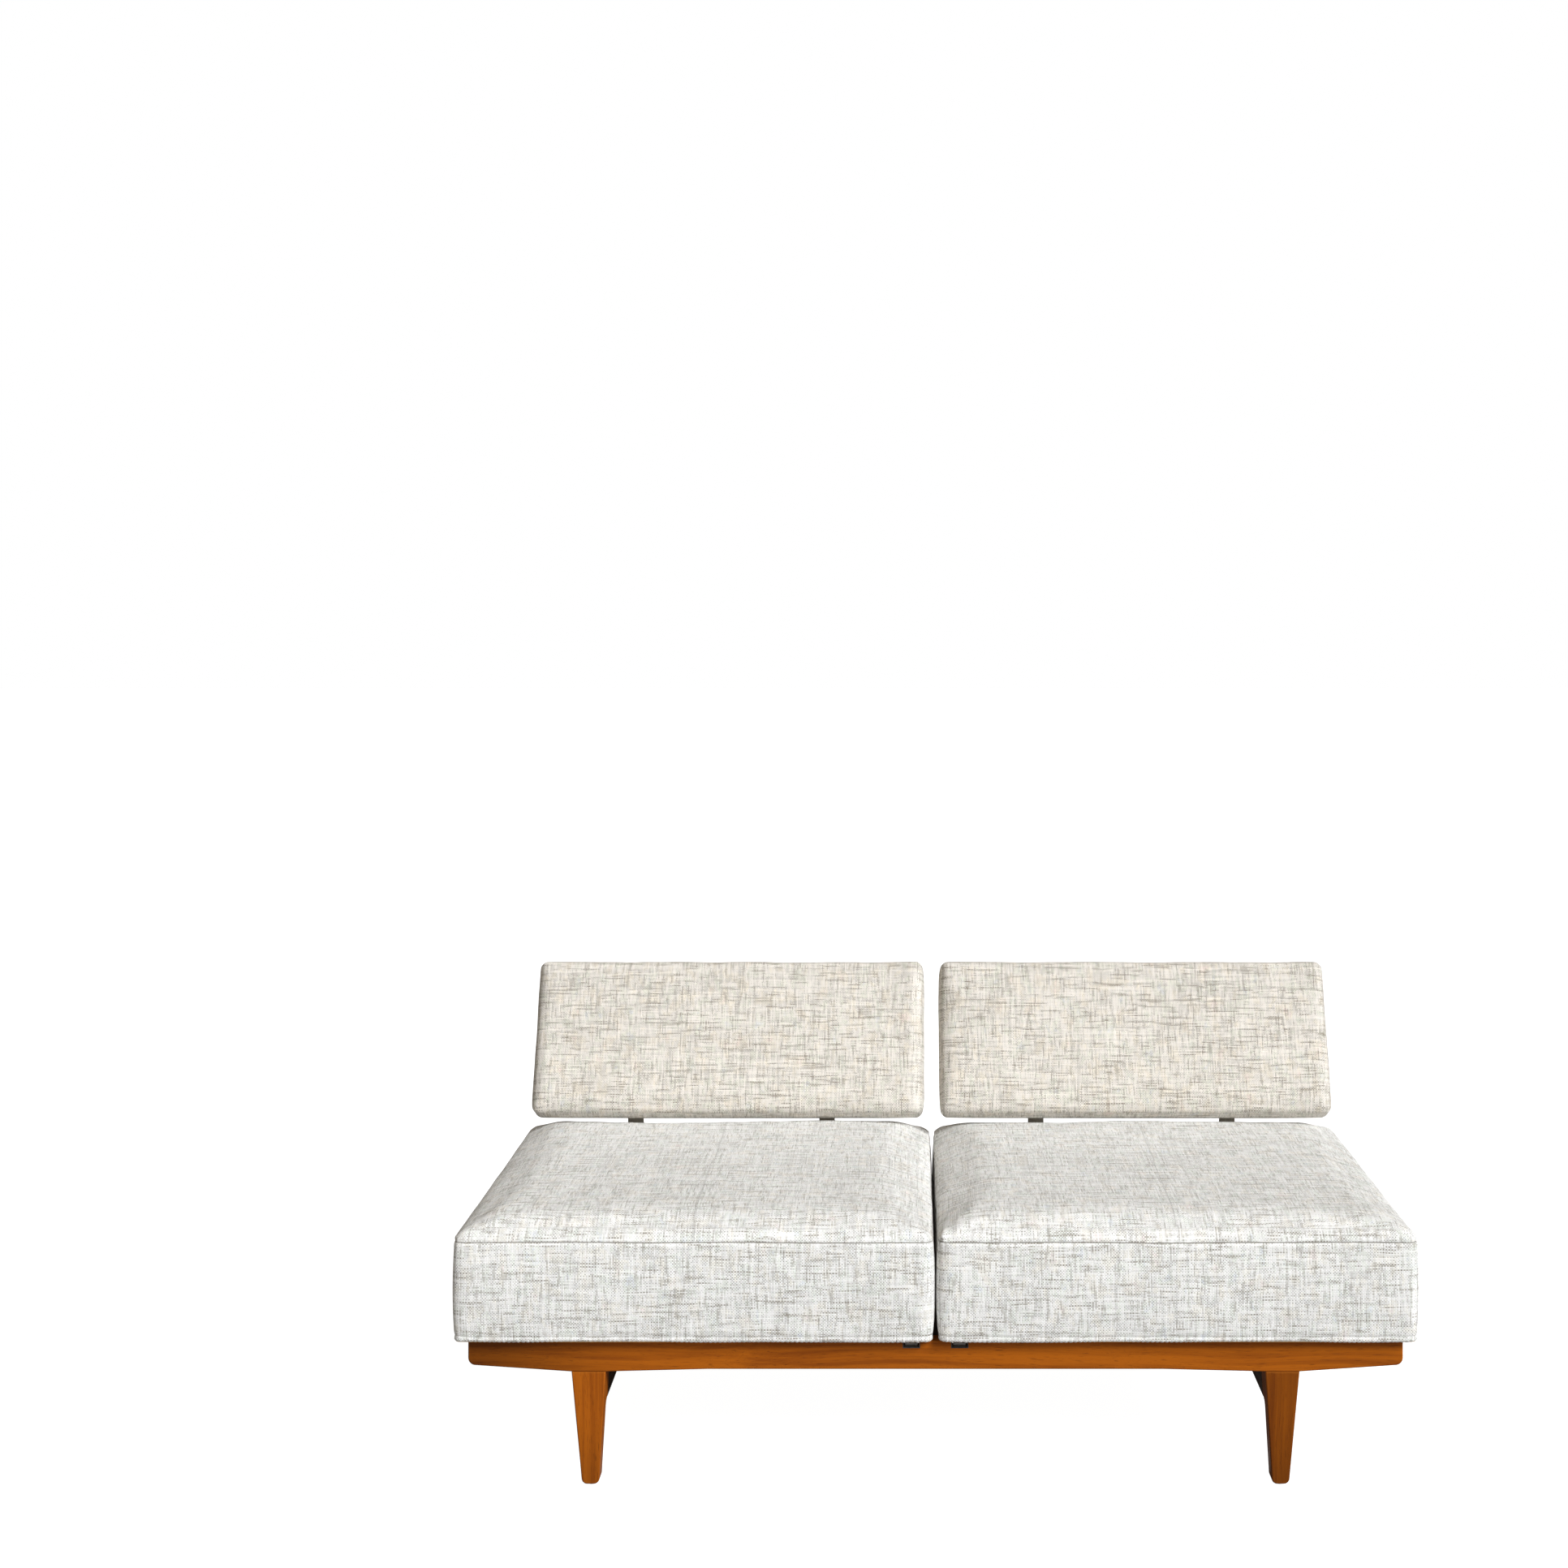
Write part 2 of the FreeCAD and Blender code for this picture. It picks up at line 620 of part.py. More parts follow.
def border_wires():
    """The two rounded wire frames round the springs' end turns."""
    half_x = spring_steps(SEAT_WIDTH)[-1] + border_reach()
    half_y = spring_steps(SEAT_DEPTH)[-1] + border_reach()
    middle = SEAT_DEPTH / 2
    corners = [(-half_x, -half_y), (half_x, -half_y), (half_x, half_y), (-half_x, half_y)]
    found = []
    lower = SLAT_TOP + WIRE_CLEARANCE + BORDER_WIRE / 2
    for z in (lower, SPRING_TOP - BORDER_WIRE / 2):
        path = rounded_wire(
            [(u, v, BORDER_WIRE_CORNER) for u, v in corners],
            lambda u, v: Vector(SEAT_CENTRE + u, at_depth(middle + v), z),
        )
        first = path.OrderedEdges[0]
        start = first.valueAt(first.FirstParameter)
        tangent = first.tangentAt(first.FirstParameter)
        found.append(wire_solid(path, start, tangent, BORDER_WIRE))
    return group(found)


def seat_cover():
    """The sewn cover: a crowned shell turned under the base all round."""
    outer = crowned_seat(0, COVER_UNDER)
    room = crowned_seat(COVER_THICKNESS, BASE_UNDER)
    mouth = box(
        (SEAT_INNER + FLANGE_WIDTH, SEAT_OUTER - FLANGE_WIDTH),
        (FLANGE_WIDTH, SEAT_DEPTH - FLANGE_WIDTH),
        (COVER_UNDER - 1, BASE_UNDER + 1),
    )
    return outer.cut([room, mouth]).removeSplitter()


def seat_topper():
    """The crowned pad under the cover."""
    inset = COVER_THICKNESS + FIT
    below = seat_block(0, (BASE_UNDER - 1, FELT_TOP + FIT))
    return crowned_seat(inset, BASE_UNDER).cut(below).removeSplitter()


def seat_felt():
    return seat_block(COVER_THICKNESS + FIT, (FELT_UNDER, FELT_TOP))


def seat_border_pad():
    """The upright padded wall round the springs."""
    inset = COVER_THICKNESS + FIT
    heights = (BASE_TOP + FIT, SPRING_TOP)
    inner = box(
        (SEAT_INNER + inset + BORDER_PAD, SEAT_OUTER - inset - BORDER_PAD),
        (inset + BORDER_PAD, SEAT_DEPTH - inset - BORDER_PAD),
        (heights[0] - 1, heights[1] + 1),
    )
    return seat_block(inset, heights).cut(inner)


def hook_screw_points():
    """Where the two screws of the front hook meet its plate, from below."""
    first = FRONT_RAIL_INNER + FOOT_CLEARANCE + HOOK_THICKNESS + HOOK_PLATE / 2
    return [
        Vector(
            HOOK_CENTRE,
            at_depth(first + side * HOOK_SCREW_SPACING / 2),
            BASE_UNDER - HOOK_THICKNESS,
        )
        for side in (-1, 1)
    ]


def hook_screws(clearance=0.0):
    return [
        pan_screw(
            point,
            Vector(0, 0, 1),
            SCREW_RADIUS + clearance,
            SCREW_LENGTH + clearance,
            SCREW_HEAD_RADIUS,
            SCREW_HEAD_HEIGHT,
        )
        for point in hook_screw_points()
    ]


def front_hook():
    """A Z-shaped strap: its foot runs in the rail's groove, its plate is under the base."""
    x = (HOOK_CENTRE - HOOK_WIDTH / 2, HOOK_CENTRE + HOOK_WIDTH / 2)
    web = FRONT_RAIL_INNER + FOOT_CLEARANCE
    tip = FRONT_RAIL_INNER - GROOVE_DEPTH + FOOT_CLEARANCE
    top = BASE_UNDER
    turn = HOOK_THICKNESS
    outline = [
        (tip, FOOT_UNDER, 0),
        (web + turn, FOOT_UNDER, turn),
        (web + turn, top - turn, 0),
        (web + turn + HOOK_PLATE, top - turn, 0),
        (web + turn + HOOK_PLATE, top, 0),
        (web, top, turn),
        (web, FOOT_UNDER + turn, 0),
        (tip, FOOT_UNDER + turn, 0),
    ]
    strap = across_width(outline, x)
    holes = [
        Part.makeCylinder(SCREW_RADIUS + HOLE_CLEARANCE, 3 * turn, p, Vector(0, 0, 1))
        for p in hook_screw_points()
    ]
    return strap.cut(holes)


def base_rails():
    """The four members of the right seat's wooden base, drilled for the hooks."""
    inset = COVER_THICKNESS + 2 * FIT
    heights = (BASE_UNDER, BASE_TOP)
    plan = seat_block(inset, heights)
    near = inset + BASE_RAIL_WIDTH
    far = SEAT_DEPTH - near
    left = SEAT_INNER + near
    right = SEAT_OUTER - near
    wide = (SEAT_INNER, SEAT_OUTER)
    front_screws = hook_screws(HOLE_CLEARANCE)
    holes = front_screws + [turned_rear(s) for s in front_screws]
    parts = {
        "front_base_rail": box(wide, (0, near), heights),
        "rear_base_rail": box(wide, (far, SEAT_DEPTH), heights),
        "inner_base_rail": box((SEAT_INNER, left), (near, far), heights),
        "outer_base_rail": box((right, SEAT_OUTER), (near, far), heights),
    }
    return {name: plan.common(part).cut(holes) for name, part in parts.items()}


def seat_slats():
    """A slat under each row of springs, resting on the front and rear base rails."""
    start = COVER_THICKNESS + 2 * FIT + BASE_RAIL_WIDTH - SLAT_BEARING
    found = []
    for x in sorted({x for x, _ in spring_centres()}):
        slat = box(
            (x - SLAT_WIDTH / 2, x + SLAT_WIDTH / 2),
            (start, SEAT_DEPTH - start),
            (BASE_TOP, SLAT_TOP),
        )
        found.append(slat)
    return group(found)


def seat_dust_cover():
    """The cloth that closes the seat from below, nailed under the base rails."""
    start = COVER_THICKNESS + 2 * FIT + BASE_RAIL_WIDTH - DUST_COVER_LAP
    return box(
        (SEAT_INNER + start, SEAT_OUTER - start),
        (start, SEAT_DEPTH - start),
        (BASE_UNDER - DUST_COVER_THICKNESS, BASE_UNDER),
    )


def front_runner():
    """A hardwood strip under the front base rail, on the middle of the long rail."""
    middle = FRONT_OVERHANG + RAIL_THICKNESS / 2
    end = FLANGE_WIDTH + FIT
    return box(
        (SEAT_INNER + end, SEAT_OUTER - end),
        (middle - RUNNER_WIDTH / 2, middle + RUNNER_WIDTH / 2),
        (RAIL_TOP, BASE_UNDER),
    )


def rear_runner():
    """The same strip at the back, clear of the cover's turned-under edge."""
    far = SEAT_DEPTH - FLANGE_WIDTH - FIT
    end = FLANGE_WIDTH + FIT
    return box(
        (SEAT_INNER + end, SEAT_OUTER - end),
        (far - (RAIL_THICKNESS - FLANGE_WIDTH - 2 * FIT), far),
        (RAIL_TOP, BASE_UNDER),
    )


def right_seat():
    """Nodes of the right seat, without their side's name."""
    coil = spring()
    coils = [coil.translated(Vector(x, y, 0)) for x, y in spring_centres()]
    hook = front_hook()
    screws = hook_screws()
    nodes = {
        "seat_cover": seat_cover(),
        "seat_topper": seat_topper(),
        "seat_felt": seat_felt(),
        "seat_border_pad": seat_border_pad(),
        "seat_springs": group(coils),
        "spring_border_wires": border_wires(),
        "seat_slats": seat_slats(),
        "seat_runners": group([front_runner(), rear_runner()]),
        "seat_dust_cover": seat_dust_cover(),
        "seat_hooks": group([hook, turned_rear(hook)]),
        "hook_screws": group(screws + [turned_rear(s) for s in screws]),
    }
    nodes.update(base_rails())
    return nodes


# ---------------------------------------------------------------- backrests
def lean_back(shape):
    """Puts a piece made upright, with its lower front edge on the X axis, in its place."""
    placed = shape.copy()
    placed.rotate(Vector(0, 0, 0), Vector(1, 0, 0), -BACK_LEAN)
    placed.translate(Vector(BACK_CENTRE, at_depth(BACK_FRONT_DEPTH), BACK_FRONT_HEIGHT))
    return placed


def back_block(inset, edge):
    """The backrest's upright block drawn in by inset, its edges rounded."""
    block = Part.makeBox(
        BACK_WIDTH - 2 * inset,
        BACK_THICKNESS - 2 * inset,
        BACK_LENGTH - 2 * inset,
        Vector(inset - BACK_WIDTH / 2, inset, inset),
    )
    return block.makeFillet(edge, block.Edges)


def panel_block(clearance, thickness):
    """The stiff panel's space, measured forward from the cover's inner back wall."""
    inset = PANEL_INSET - clearance
    back = BACK_THICKNESS - BACK_COVER - FIT
    return Part.makeBox(
        BACK_WIDTH - 2 * inset,
        thickness + clearance,
        BACK_LENGTH - 2 * inset,
        Vector(inset - BACK_WIDTH / 2, back - thickness - clearance, inset),
    )


def arm_screw_heights():
    """Places of an arm's screws along the slope, evenly from the lowest to the top one."""
    first = ARM_BEND_PLACE + ARM_SCREW_FOOT
    pitch = (ARM_TOP - ARM_SCREW_END - first) / (ARM_SCREWS - 1)
    return [first + i * pitch for i in range(ARM_SCREWS)]


def arm_screws(clearance=0.0):
    """Machine screws through both arms into the panel, heads behind."""
    found = []
    length = ARM_THICKNESS + BACK_COVER + PANEL_THICKNESS
    for side in (-1, 1):
        for height in arm_screw_heights():
            point = Vector(side * ARM_SPACING / 2, BACK_THICKNESS + ARM_THICKNESS, height)
            screw = pan_screw(
                point,
                Vector(0, -1, 0),
                ARM_SCREW_RADIUS + clearance,
                length + clearance,
                ARM_SCREW_HEAD_RADIUS,
                ARM_SCREW_HEAD_HEIGHT,
            )
            found.append(lean_back(screw))
    return found


def back_arm(centre):
    """A flat bar: upright in its socket, then bent to lie on the backrest's rear face."""
    sin, cos = math.sin(LEAN), math.cos(LEAN)

    def rear_face(slope, out):
        """Depth and height of a place up the rear face, and out from it."""
        return (
            BACK_HEEL_DEPTH + slope * sin + out * cos,
            BACK_HEEL_HEIGHT + slope * cos - out * sin,
        )

    bend_height = rear_face(ARM_BEND_PLACE, 0)[1]
    far_bend_height = bend_height - ARM_THICKNESS * math.tan(LEAN / 2)
    under = SOCKET_UNDER + SOCKET_WALL + SOCKET_CLEARANCE
    outline = [
        (ARM_FRONT, under, 0),
        (ARM_FRONT + ARM_THICKNESS, under, 0),
        (ARM_FRONT + ARM_THICKNESS, far_bend_height, ARM_BEND - ARM_THICKNESS),
        (*rear_face(ARM_TOP, ARM_THICKNESS), 0),
        (*rear_face(ARM_TOP, 0), 0),
        (ARM_FRONT, bend_height, ARM_BEND),
    ]
    bar = across_width(outline, (centre - ARM_WIDTH / 2, centre + ARM_WIDTH / 2))
    ends = [
        e
        for e in bar.Edges
        if abs(e.Length - ARM_THICKNESS) < 1e-6 and e.Curve.TypeId == "Part::GeomLine"
    ]
    return bar.makeFillet(ARM_END_CORNER, ends)


def right_backrest():
    """Nodes of the right backrest, without their side's name."""
    bored = arm_screws(HOLE_CLEARANCE)
    cover = back_block(0, BACK_EDGE).cut(back_block(BACK_COVER, BACK_EDGE - BACK_COVER))
    inset = BACK_COVER + FIT
    filling = back_block(inset, BACK_EDGE - inset)
    filling = filling.cut(panel_block(FIT, PANEL_THICKNESS + BACK_COVER))
    filling = filling.cut(
        panel_block(FIT, PANEL_THICKNESS).translated(Vector(0, BACK_COVER, 0))
    )
    nodes = {
        "back_cover": lean_back(cover).cut(bored),
        "back_padding": lean_back(filling),
        "back_panel": lean_back(panel_block(0, PANEL_THICKNESS)).cut(bored),
        "back_arm_screws": group(arm_screws()),
    }
    for which, centre in zip(("inner", "outer"), socket_centres()):
        nodes[f"{which}_back_arm"] = back_arm(centre).cut(bored)
    return nodes


# ---------------------------------------------------------------- all nodes
def all_nodes():
    nodes = rail_frame()
    for made in (right_seat(), right_backrest()):
        for name, shape in made.items():
            nodes[f"right_{name}"] = shape
            nodes[f"left_{name}"] = mirrored(shape)
    return nodes


os.makedirs("parts", exist_ok=True)
for node_name, node_shape in all_nodes().items():
    node_shape.exportStep(os.path.join("parts", f"{node_name}.step"))
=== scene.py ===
"""A two-seat daybed: crowned woven seats and leaning backrests on a cherry rail frame with tapered legs.

The frame, hooks, sockets, arms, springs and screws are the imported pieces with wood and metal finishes. The
seats, the backrests and the cloth under the seats are made here as sewn, filled and stretched cloth.
"""
import math

import bmesh
import bpy
import numpy as np
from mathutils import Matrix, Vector


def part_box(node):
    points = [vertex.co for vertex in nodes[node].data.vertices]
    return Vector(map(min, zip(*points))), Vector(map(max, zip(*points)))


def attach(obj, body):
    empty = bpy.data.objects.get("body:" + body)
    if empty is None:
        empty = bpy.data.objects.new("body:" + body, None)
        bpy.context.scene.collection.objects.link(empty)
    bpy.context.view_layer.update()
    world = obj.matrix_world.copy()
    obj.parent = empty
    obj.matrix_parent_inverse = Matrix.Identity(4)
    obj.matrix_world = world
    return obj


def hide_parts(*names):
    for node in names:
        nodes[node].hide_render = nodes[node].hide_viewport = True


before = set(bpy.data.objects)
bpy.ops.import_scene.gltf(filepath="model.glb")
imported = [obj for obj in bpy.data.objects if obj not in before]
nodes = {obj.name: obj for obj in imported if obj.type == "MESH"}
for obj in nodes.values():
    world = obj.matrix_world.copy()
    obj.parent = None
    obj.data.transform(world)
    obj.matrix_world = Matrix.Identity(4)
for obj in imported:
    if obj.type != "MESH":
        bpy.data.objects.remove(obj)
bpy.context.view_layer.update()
SIDES = (("left", -1.0), ("right", 1.0))


def span(name):
    """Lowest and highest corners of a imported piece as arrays."""
    low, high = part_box(name)
    return np.array(low, float), np.array(high, float)


SEAT_LOW, SEAT_HIGH = span("right_seat_cover")
BACK_LOW, BACK_HIGH = span("right_back_cover")
BASE_UNDER = span("right_front_base_rail")[0][2]
FELT_TOP = span("right_seat_felt")[1][2]
SEAM = FELT_TOP + 0.026                  # height of the seat's top seam
CROWN_INSET = 0.145                      # the crown keeps rising this far in from its seam
CROWN_CORNER = 0.095
SEAT_CORNER = 0.014
SKIN_GAP = 0.0006                        # a skin starts this far inside its box, before it is filled
CLOTH_SEED = {1.0: 3, -1.0: 8}           # so that the two seats are cut from different parts of the cloth
NO_SEAM = 0.05                           # the seam_gap of cloth that has no seam near it
MAP_CORNER = 0.01                        # the side panels' map turns its corners this far inside them
HEM_ROUND = 0.009
LEAN = math.radians(22.5)
BACK_SIZE = np.array([0.740, 0.070, 0.288])    # width, thickness, length along the slope
BACK_ROUND = 0.012


# ---------------------------------------------------------------- mesh making

def quads(rows, columns, wrap):
    """Faces of a grid of rows x columns points: each cell joins a point, its right neighbour and the two
    above them. With wrap, the last column joins the first."""
    index = np.arange(rows * columns).reshape(rows, columns)
    if wrap:
        index = np.concatenate([index, index[:, :1]], 1)
    return np.stack([index[:-1, :-1], index[:-1, 1:], index[1:, 1:], index[1:, :-1]], -1).reshape(-1, 4)


def make_mesh(name, points, faces, caps=()):
    """An object at the origin with these points and faces, and any cap faces of many corners."""
    mesh = bpy.data.meshes.new(name)
    mesh.from_pydata(np.asarray(points, float).reshape(-1, 3).tolist(), [],
                     np.asarray(faces).tolist() + [list(map(int, c)) for c in caps])
    mesh.update()
    piece = bpy.data.objects.new(name, mesh)
    bpy.context.scene.collection.objects.link(piece)
    return piece


def corner_rings(half_x, half_y, radius, arc=8, side=24):
    """Rectangles with rounded corners, one for each entry of the arrays: a corner's points are its centre
    plus radius times (cos a, sin a), and a side's points run evenly from one corner to the next."""
    half_x, half_y, radius = (np.asarray(v, float).reshape(-1, 1) for v in (half_x, half_y, radius))
    corners = []
    for k, (sx, sy) in enumerate(((1, -1), (1, 1), (-1, 1), (-1, -1))):
        a = (k - 1 + np.linspace(0, 1, arc + 1)) * math.pi / 2
        corners.append(np.stack([sx * (half_x - radius) + radius * np.cos(a),
                                 sy * (half_y - radius) + radius * np.sin(a)], -1))
    parts, t = [], np.linspace(0, 1, side + 1)[1:-1].reshape(1, -1, 1)
    for k in range(4):
        here, ahead = corners[k][:, -1:], corners[(k + 1) % 4][:, :1]
        parts += [corners[k], here + (ahead - here) * t]
    return np.concatenate(parts, 1)


def closed_loft(name, rings, heights):
    """A closed skin over rings of points at their heights, with a face over the first and the last."""
    rows, columns = rings.shape[:2]
    z = np.broadcast_to(np.asarray(heights, float).reshape(-1, 1, 1), (rows, columns, 1))
    faces = quads(rows, columns, True)
    caps = (np.arange(columns)[::-1], np.arange(columns) + (rows - 1) * columns)
    return make_mesh(name, np.concatenate([rings, z], -1), faces, caps)


def triples(elements, name):
    """One vector of every vertex or face, as the rows of an array."""
    values = np.empty(len(elements) * 3, np.float32)
    elements.foreach_get(name, values)
    return values.reshape(-1, 3).astype(float)


def positions(mesh):
    return triples(mesh.vertices, "co")


def normals(mesh):
    return triples(mesh.vertex_normals, "vector")


def place(mesh, co):
    mesh.vertices.foreach_set("co", np.asarray(co, np.float32).ravel())
    mesh.update()


def settle(piece):
    """Applies the piece's modifiers to its mesh."""
    view = bpy.context.evaluated_depsgraph_get()
    mesh = bpy.data.meshes.new_from_object(piece.evaluated_get(view))
    piece.modifiers.clear()
    piece.data = mesh
    return mesh


def remesh(piece, voxel):
    m = piece.modifiers.new("Remesh", "REMESH")
    m.mode, m.voxel_size, m.adaptivity = "VOXEL", voxel, 0.0
    return settle(piece)


def subdivide(piece):
    m = piece.modifiers.new("Subdivision", "SUBSURF")
    m.levels = m.render_levels = 1
    return settle(piece)


def fill_with_air(piece, held, pressure, cap, frames=12, stiff=12.0):
    """Blows the closed skin up as cloth. held is 1 where a seam or board holds it. A point's way from its
    start is bent to cap times tanh of the way over cap, so none goes further than cap."""
    start = positions(piece.data)
    group = piece.vertex_groups.new(name="held")
    levels = np.round(np.clip(held, 0, 1) * 10).astype(int)
    for level in np.unique(levels):
        if level:
            group.add(np.nonzero(levels == level)[0].tolist(), float(level) / 10, "REPLACE")
    m = piece.modifiers.new("Cloth", "CLOTH")
    s = m.settings
    s.quality, s.mass, s.air_damping = 4, 0.3, 2.0
    s.tension_stiffness = s.compression_stiffness = stiff
    s.shear_stiffness, s.bending_stiffness = stiff / 3, 0.6
    s.use_pressure, s.uniform_pressure_force = True, pressure
    s.vertex_group_mass = "held"
    s.effector_weights.gravity = 0.0
    m.collision_settings.use_collision = False
    m.point_cache.frame_start, m.point_cache.frame_end = 1, frames
    scene = bpy.context.scene
    for f in range(1, frames + 1):
        scene.frame_set(f)
    blown = settle(piece)
    piece.vertex_groups.clear()
    way = positions(blown) - start
    length = np.linalg.norm(way, axis=1, keepdims=True)
    place(blown, start + way * (cap * np.tanh(length / cap) / np.maximum(length, 1e-9)))
    scene.frame_set(1)


def relax(piece, rounds):
    """Moves each point towards the middle of its neighbours, so that only broad folds stay."""
    m = piece.modifiers.new("Relax", "SMOOTH")
    m.factor, m.iterations = 0.5, rounds
    return settle(piece)


def smooth_step(t):
    t = np.clip(t, 0, 1)
    return t * t * (3 - 2 * t)


def waves(co, seed, scale):
    """Slow unevenness from -1 to 1: a sum of five sine waves of different directions and phases."""
    rng = np.random.default_rng(seed)
    total = np.zeros(len(co))
    for _ in range(5):
        direction = rng.normal(size=3)
        direction /= np.linalg.norm(direction)
        total += np.sin(co @ direction * 2 * math.pi / (scale * rng.uniform(0.7, 1.5)) + rng.uniform(0, 6.28))
    return total / 3.2


# ---------------------------------------------------------------- cloth layout

def side_distance(x, y, half_x, half_y):
    """Distance round a rounded rectangle's middle line to the nearest point of it, from its front middle:
    a side adds its own coordinate and a corner the same length as two straight runs."""
    front, right = -y - half_y > np.abs(x) - half_x, x > 0
    rear = y - half_y > np.abs(x) - half_x
    u = np.where(right, half_x + (y + half_y), -half_x - (y + half_y))
    u = np.where(rear, 2 * half_x + 2 * half_y - np.where(right, x, -x), u)
    u = np.where(rear & ~right, -u, u)
    return np.where(front, x, u)


def cloth_map(mesh, panel_of_face, maps):
    """Writes the cloth's own map in metres: each face takes the layout of its panel, so that the weave turns
    at the seams as cut panels do."""
    corners = np.empty(len(mesh.loops), np.int32)
    mesh.loops.foreach_get("vertex_index", corners)
    total = np.empty(len(mesh.polygons), np.int32)
    mesh.polygons.foreach_get("loop_total", total)
    panel = np.repeat(panel_of_face, total)
    uv = np.zeros((len(corners), 2))
    for k, layout in enumerate(maps):
        chosen = panel == k
        uv[chosen] = layout[corners[chosen]]
    layer = mesh.uv_layers.new(name="cloth")
    layer.data.foreach_set("uv", uv.astype(np.float32).ravel())


def number_on_points(mesh, name, values):
    mesh.attributes.new(name, "FLOAT", "POINT").data.foreach_set("value", np.asarray(values, np.float32))


def face_centres(mesh):
    return triples(mesh.polygons, "center")


def face_normals(mesh):
    return triples(mesh.polygons, "normal")


def shade_smooth(mesh):
    mesh.polygons.foreach_set("use_smooth", np.ones(len(mesh.polygons), bool))
    mesh.update()


# ---------------------------------------------------------------- seats

def seat_plan(sign):
    """Half the seat's width and depth just inside its box, and the middle of its plan."""
    half_x, half_y = (SEAT_HIGH[:2] - SEAT_LOW[:2]) / 2 - SKIN_GAP
    middle = (SEAT_LOW + SEAT_HIGH) / 2
    return half_x, half_y, np.array([sign * middle[0], middle[1], 0.0])


def crown_line(rise, count=60):
    """The crown's profile from the seam inwards: how far in, and how high. It is a superellipse, each axis
    times the cosine or sine of an angle to the power 2 / 2.6, so that it is fuller than an ellipse."""
    a = np.linspace(0, math.pi / 2, count)
    return CROWN_INSET * (1 - np.cos(a) ** (2 / 2.6)), rise * np.sin(a) ** (2 / 2.6)


def crown_run(distance_in, height, rise, steep):
    """Length along the crown's profile from the seam. Near the seam, where steep is true and the profile
    climbs, it is read from the height, and further in from the distance."""
    inset, up = crown_line(rise, 400)
    run = np.concatenate([[0], np.cumsum(np.hypot(np.diff(inset), np.diff(up)))])
    by_distance = np.interp(distance_in, inset, run) + np.clip(distance_in - CROWN_INSET, 0, None)
    by_height = np.interp(height, up, run)
    return np.where(steep & (height < 0.55 * rise), by_height, by_distance)


def seat_rings(half_x, half_y, rise):
    """The seat's profile carried round: a rounded lower edge, a nearly upright boxing, a crown on a quarter
    superellipse and a slightly domed top that shrinks to the middle."""
    under = BASE_UNDER + 0.0012
    turn = np.linspace(math.pi / 2, 0, 5)
    low = [(HEM_ROUND * (1 - math.cos(a)), under + HEM_ROUND * (1 - math.sin(a))) for a in turn]
    box_z = np.linspace(under + HEM_ROUND, SEAM, 18)[1:]
    t = (box_z - under) / (SEAM - under)
    wall = list(zip(0.0006 - 0.0026 * np.sin(np.pi * t) ** 0.8, box_z))
    crown = [(i, SEAM + u) for i, u in zip(*crown_line(rise, 26))][1:]
    inset, z = (np.array(v) for v in zip(*(low + wall + crown)))
    radius = SEAT_CORNER + (CROWN_CORNER - SEAT_CORNER) * np.clip(inset / CROWN_INSET, 0, 1)
    radius = np.maximum(radius - 0.5 * np.clip(inset, 0, 0.004), 0.006)
    rings = corner_rings(half_x - inset, half_y - inset, radius)
    shrink = np.linspace(1, 0.02, 9)[1:]
    top = corner_rings((half_x - CROWN_INSET) * shrink, (half_y - CROWN_INSET) * shrink, CROWN_CORNER * shrink)
    bottom = corner_rings((half_x - HEM_ROUND) * shrink[::-1], (half_y - HEM_ROUND) * shrink[::-1],
                          0.010 * shrink[::-1])
    top_z = SEAM + rise + 0.0012 * (1 - shrink ** 2)
    return (np.concatenate([bottom, rings, top]),
            np.concatenate([np.full(len(shrink), under), z, top_z]))


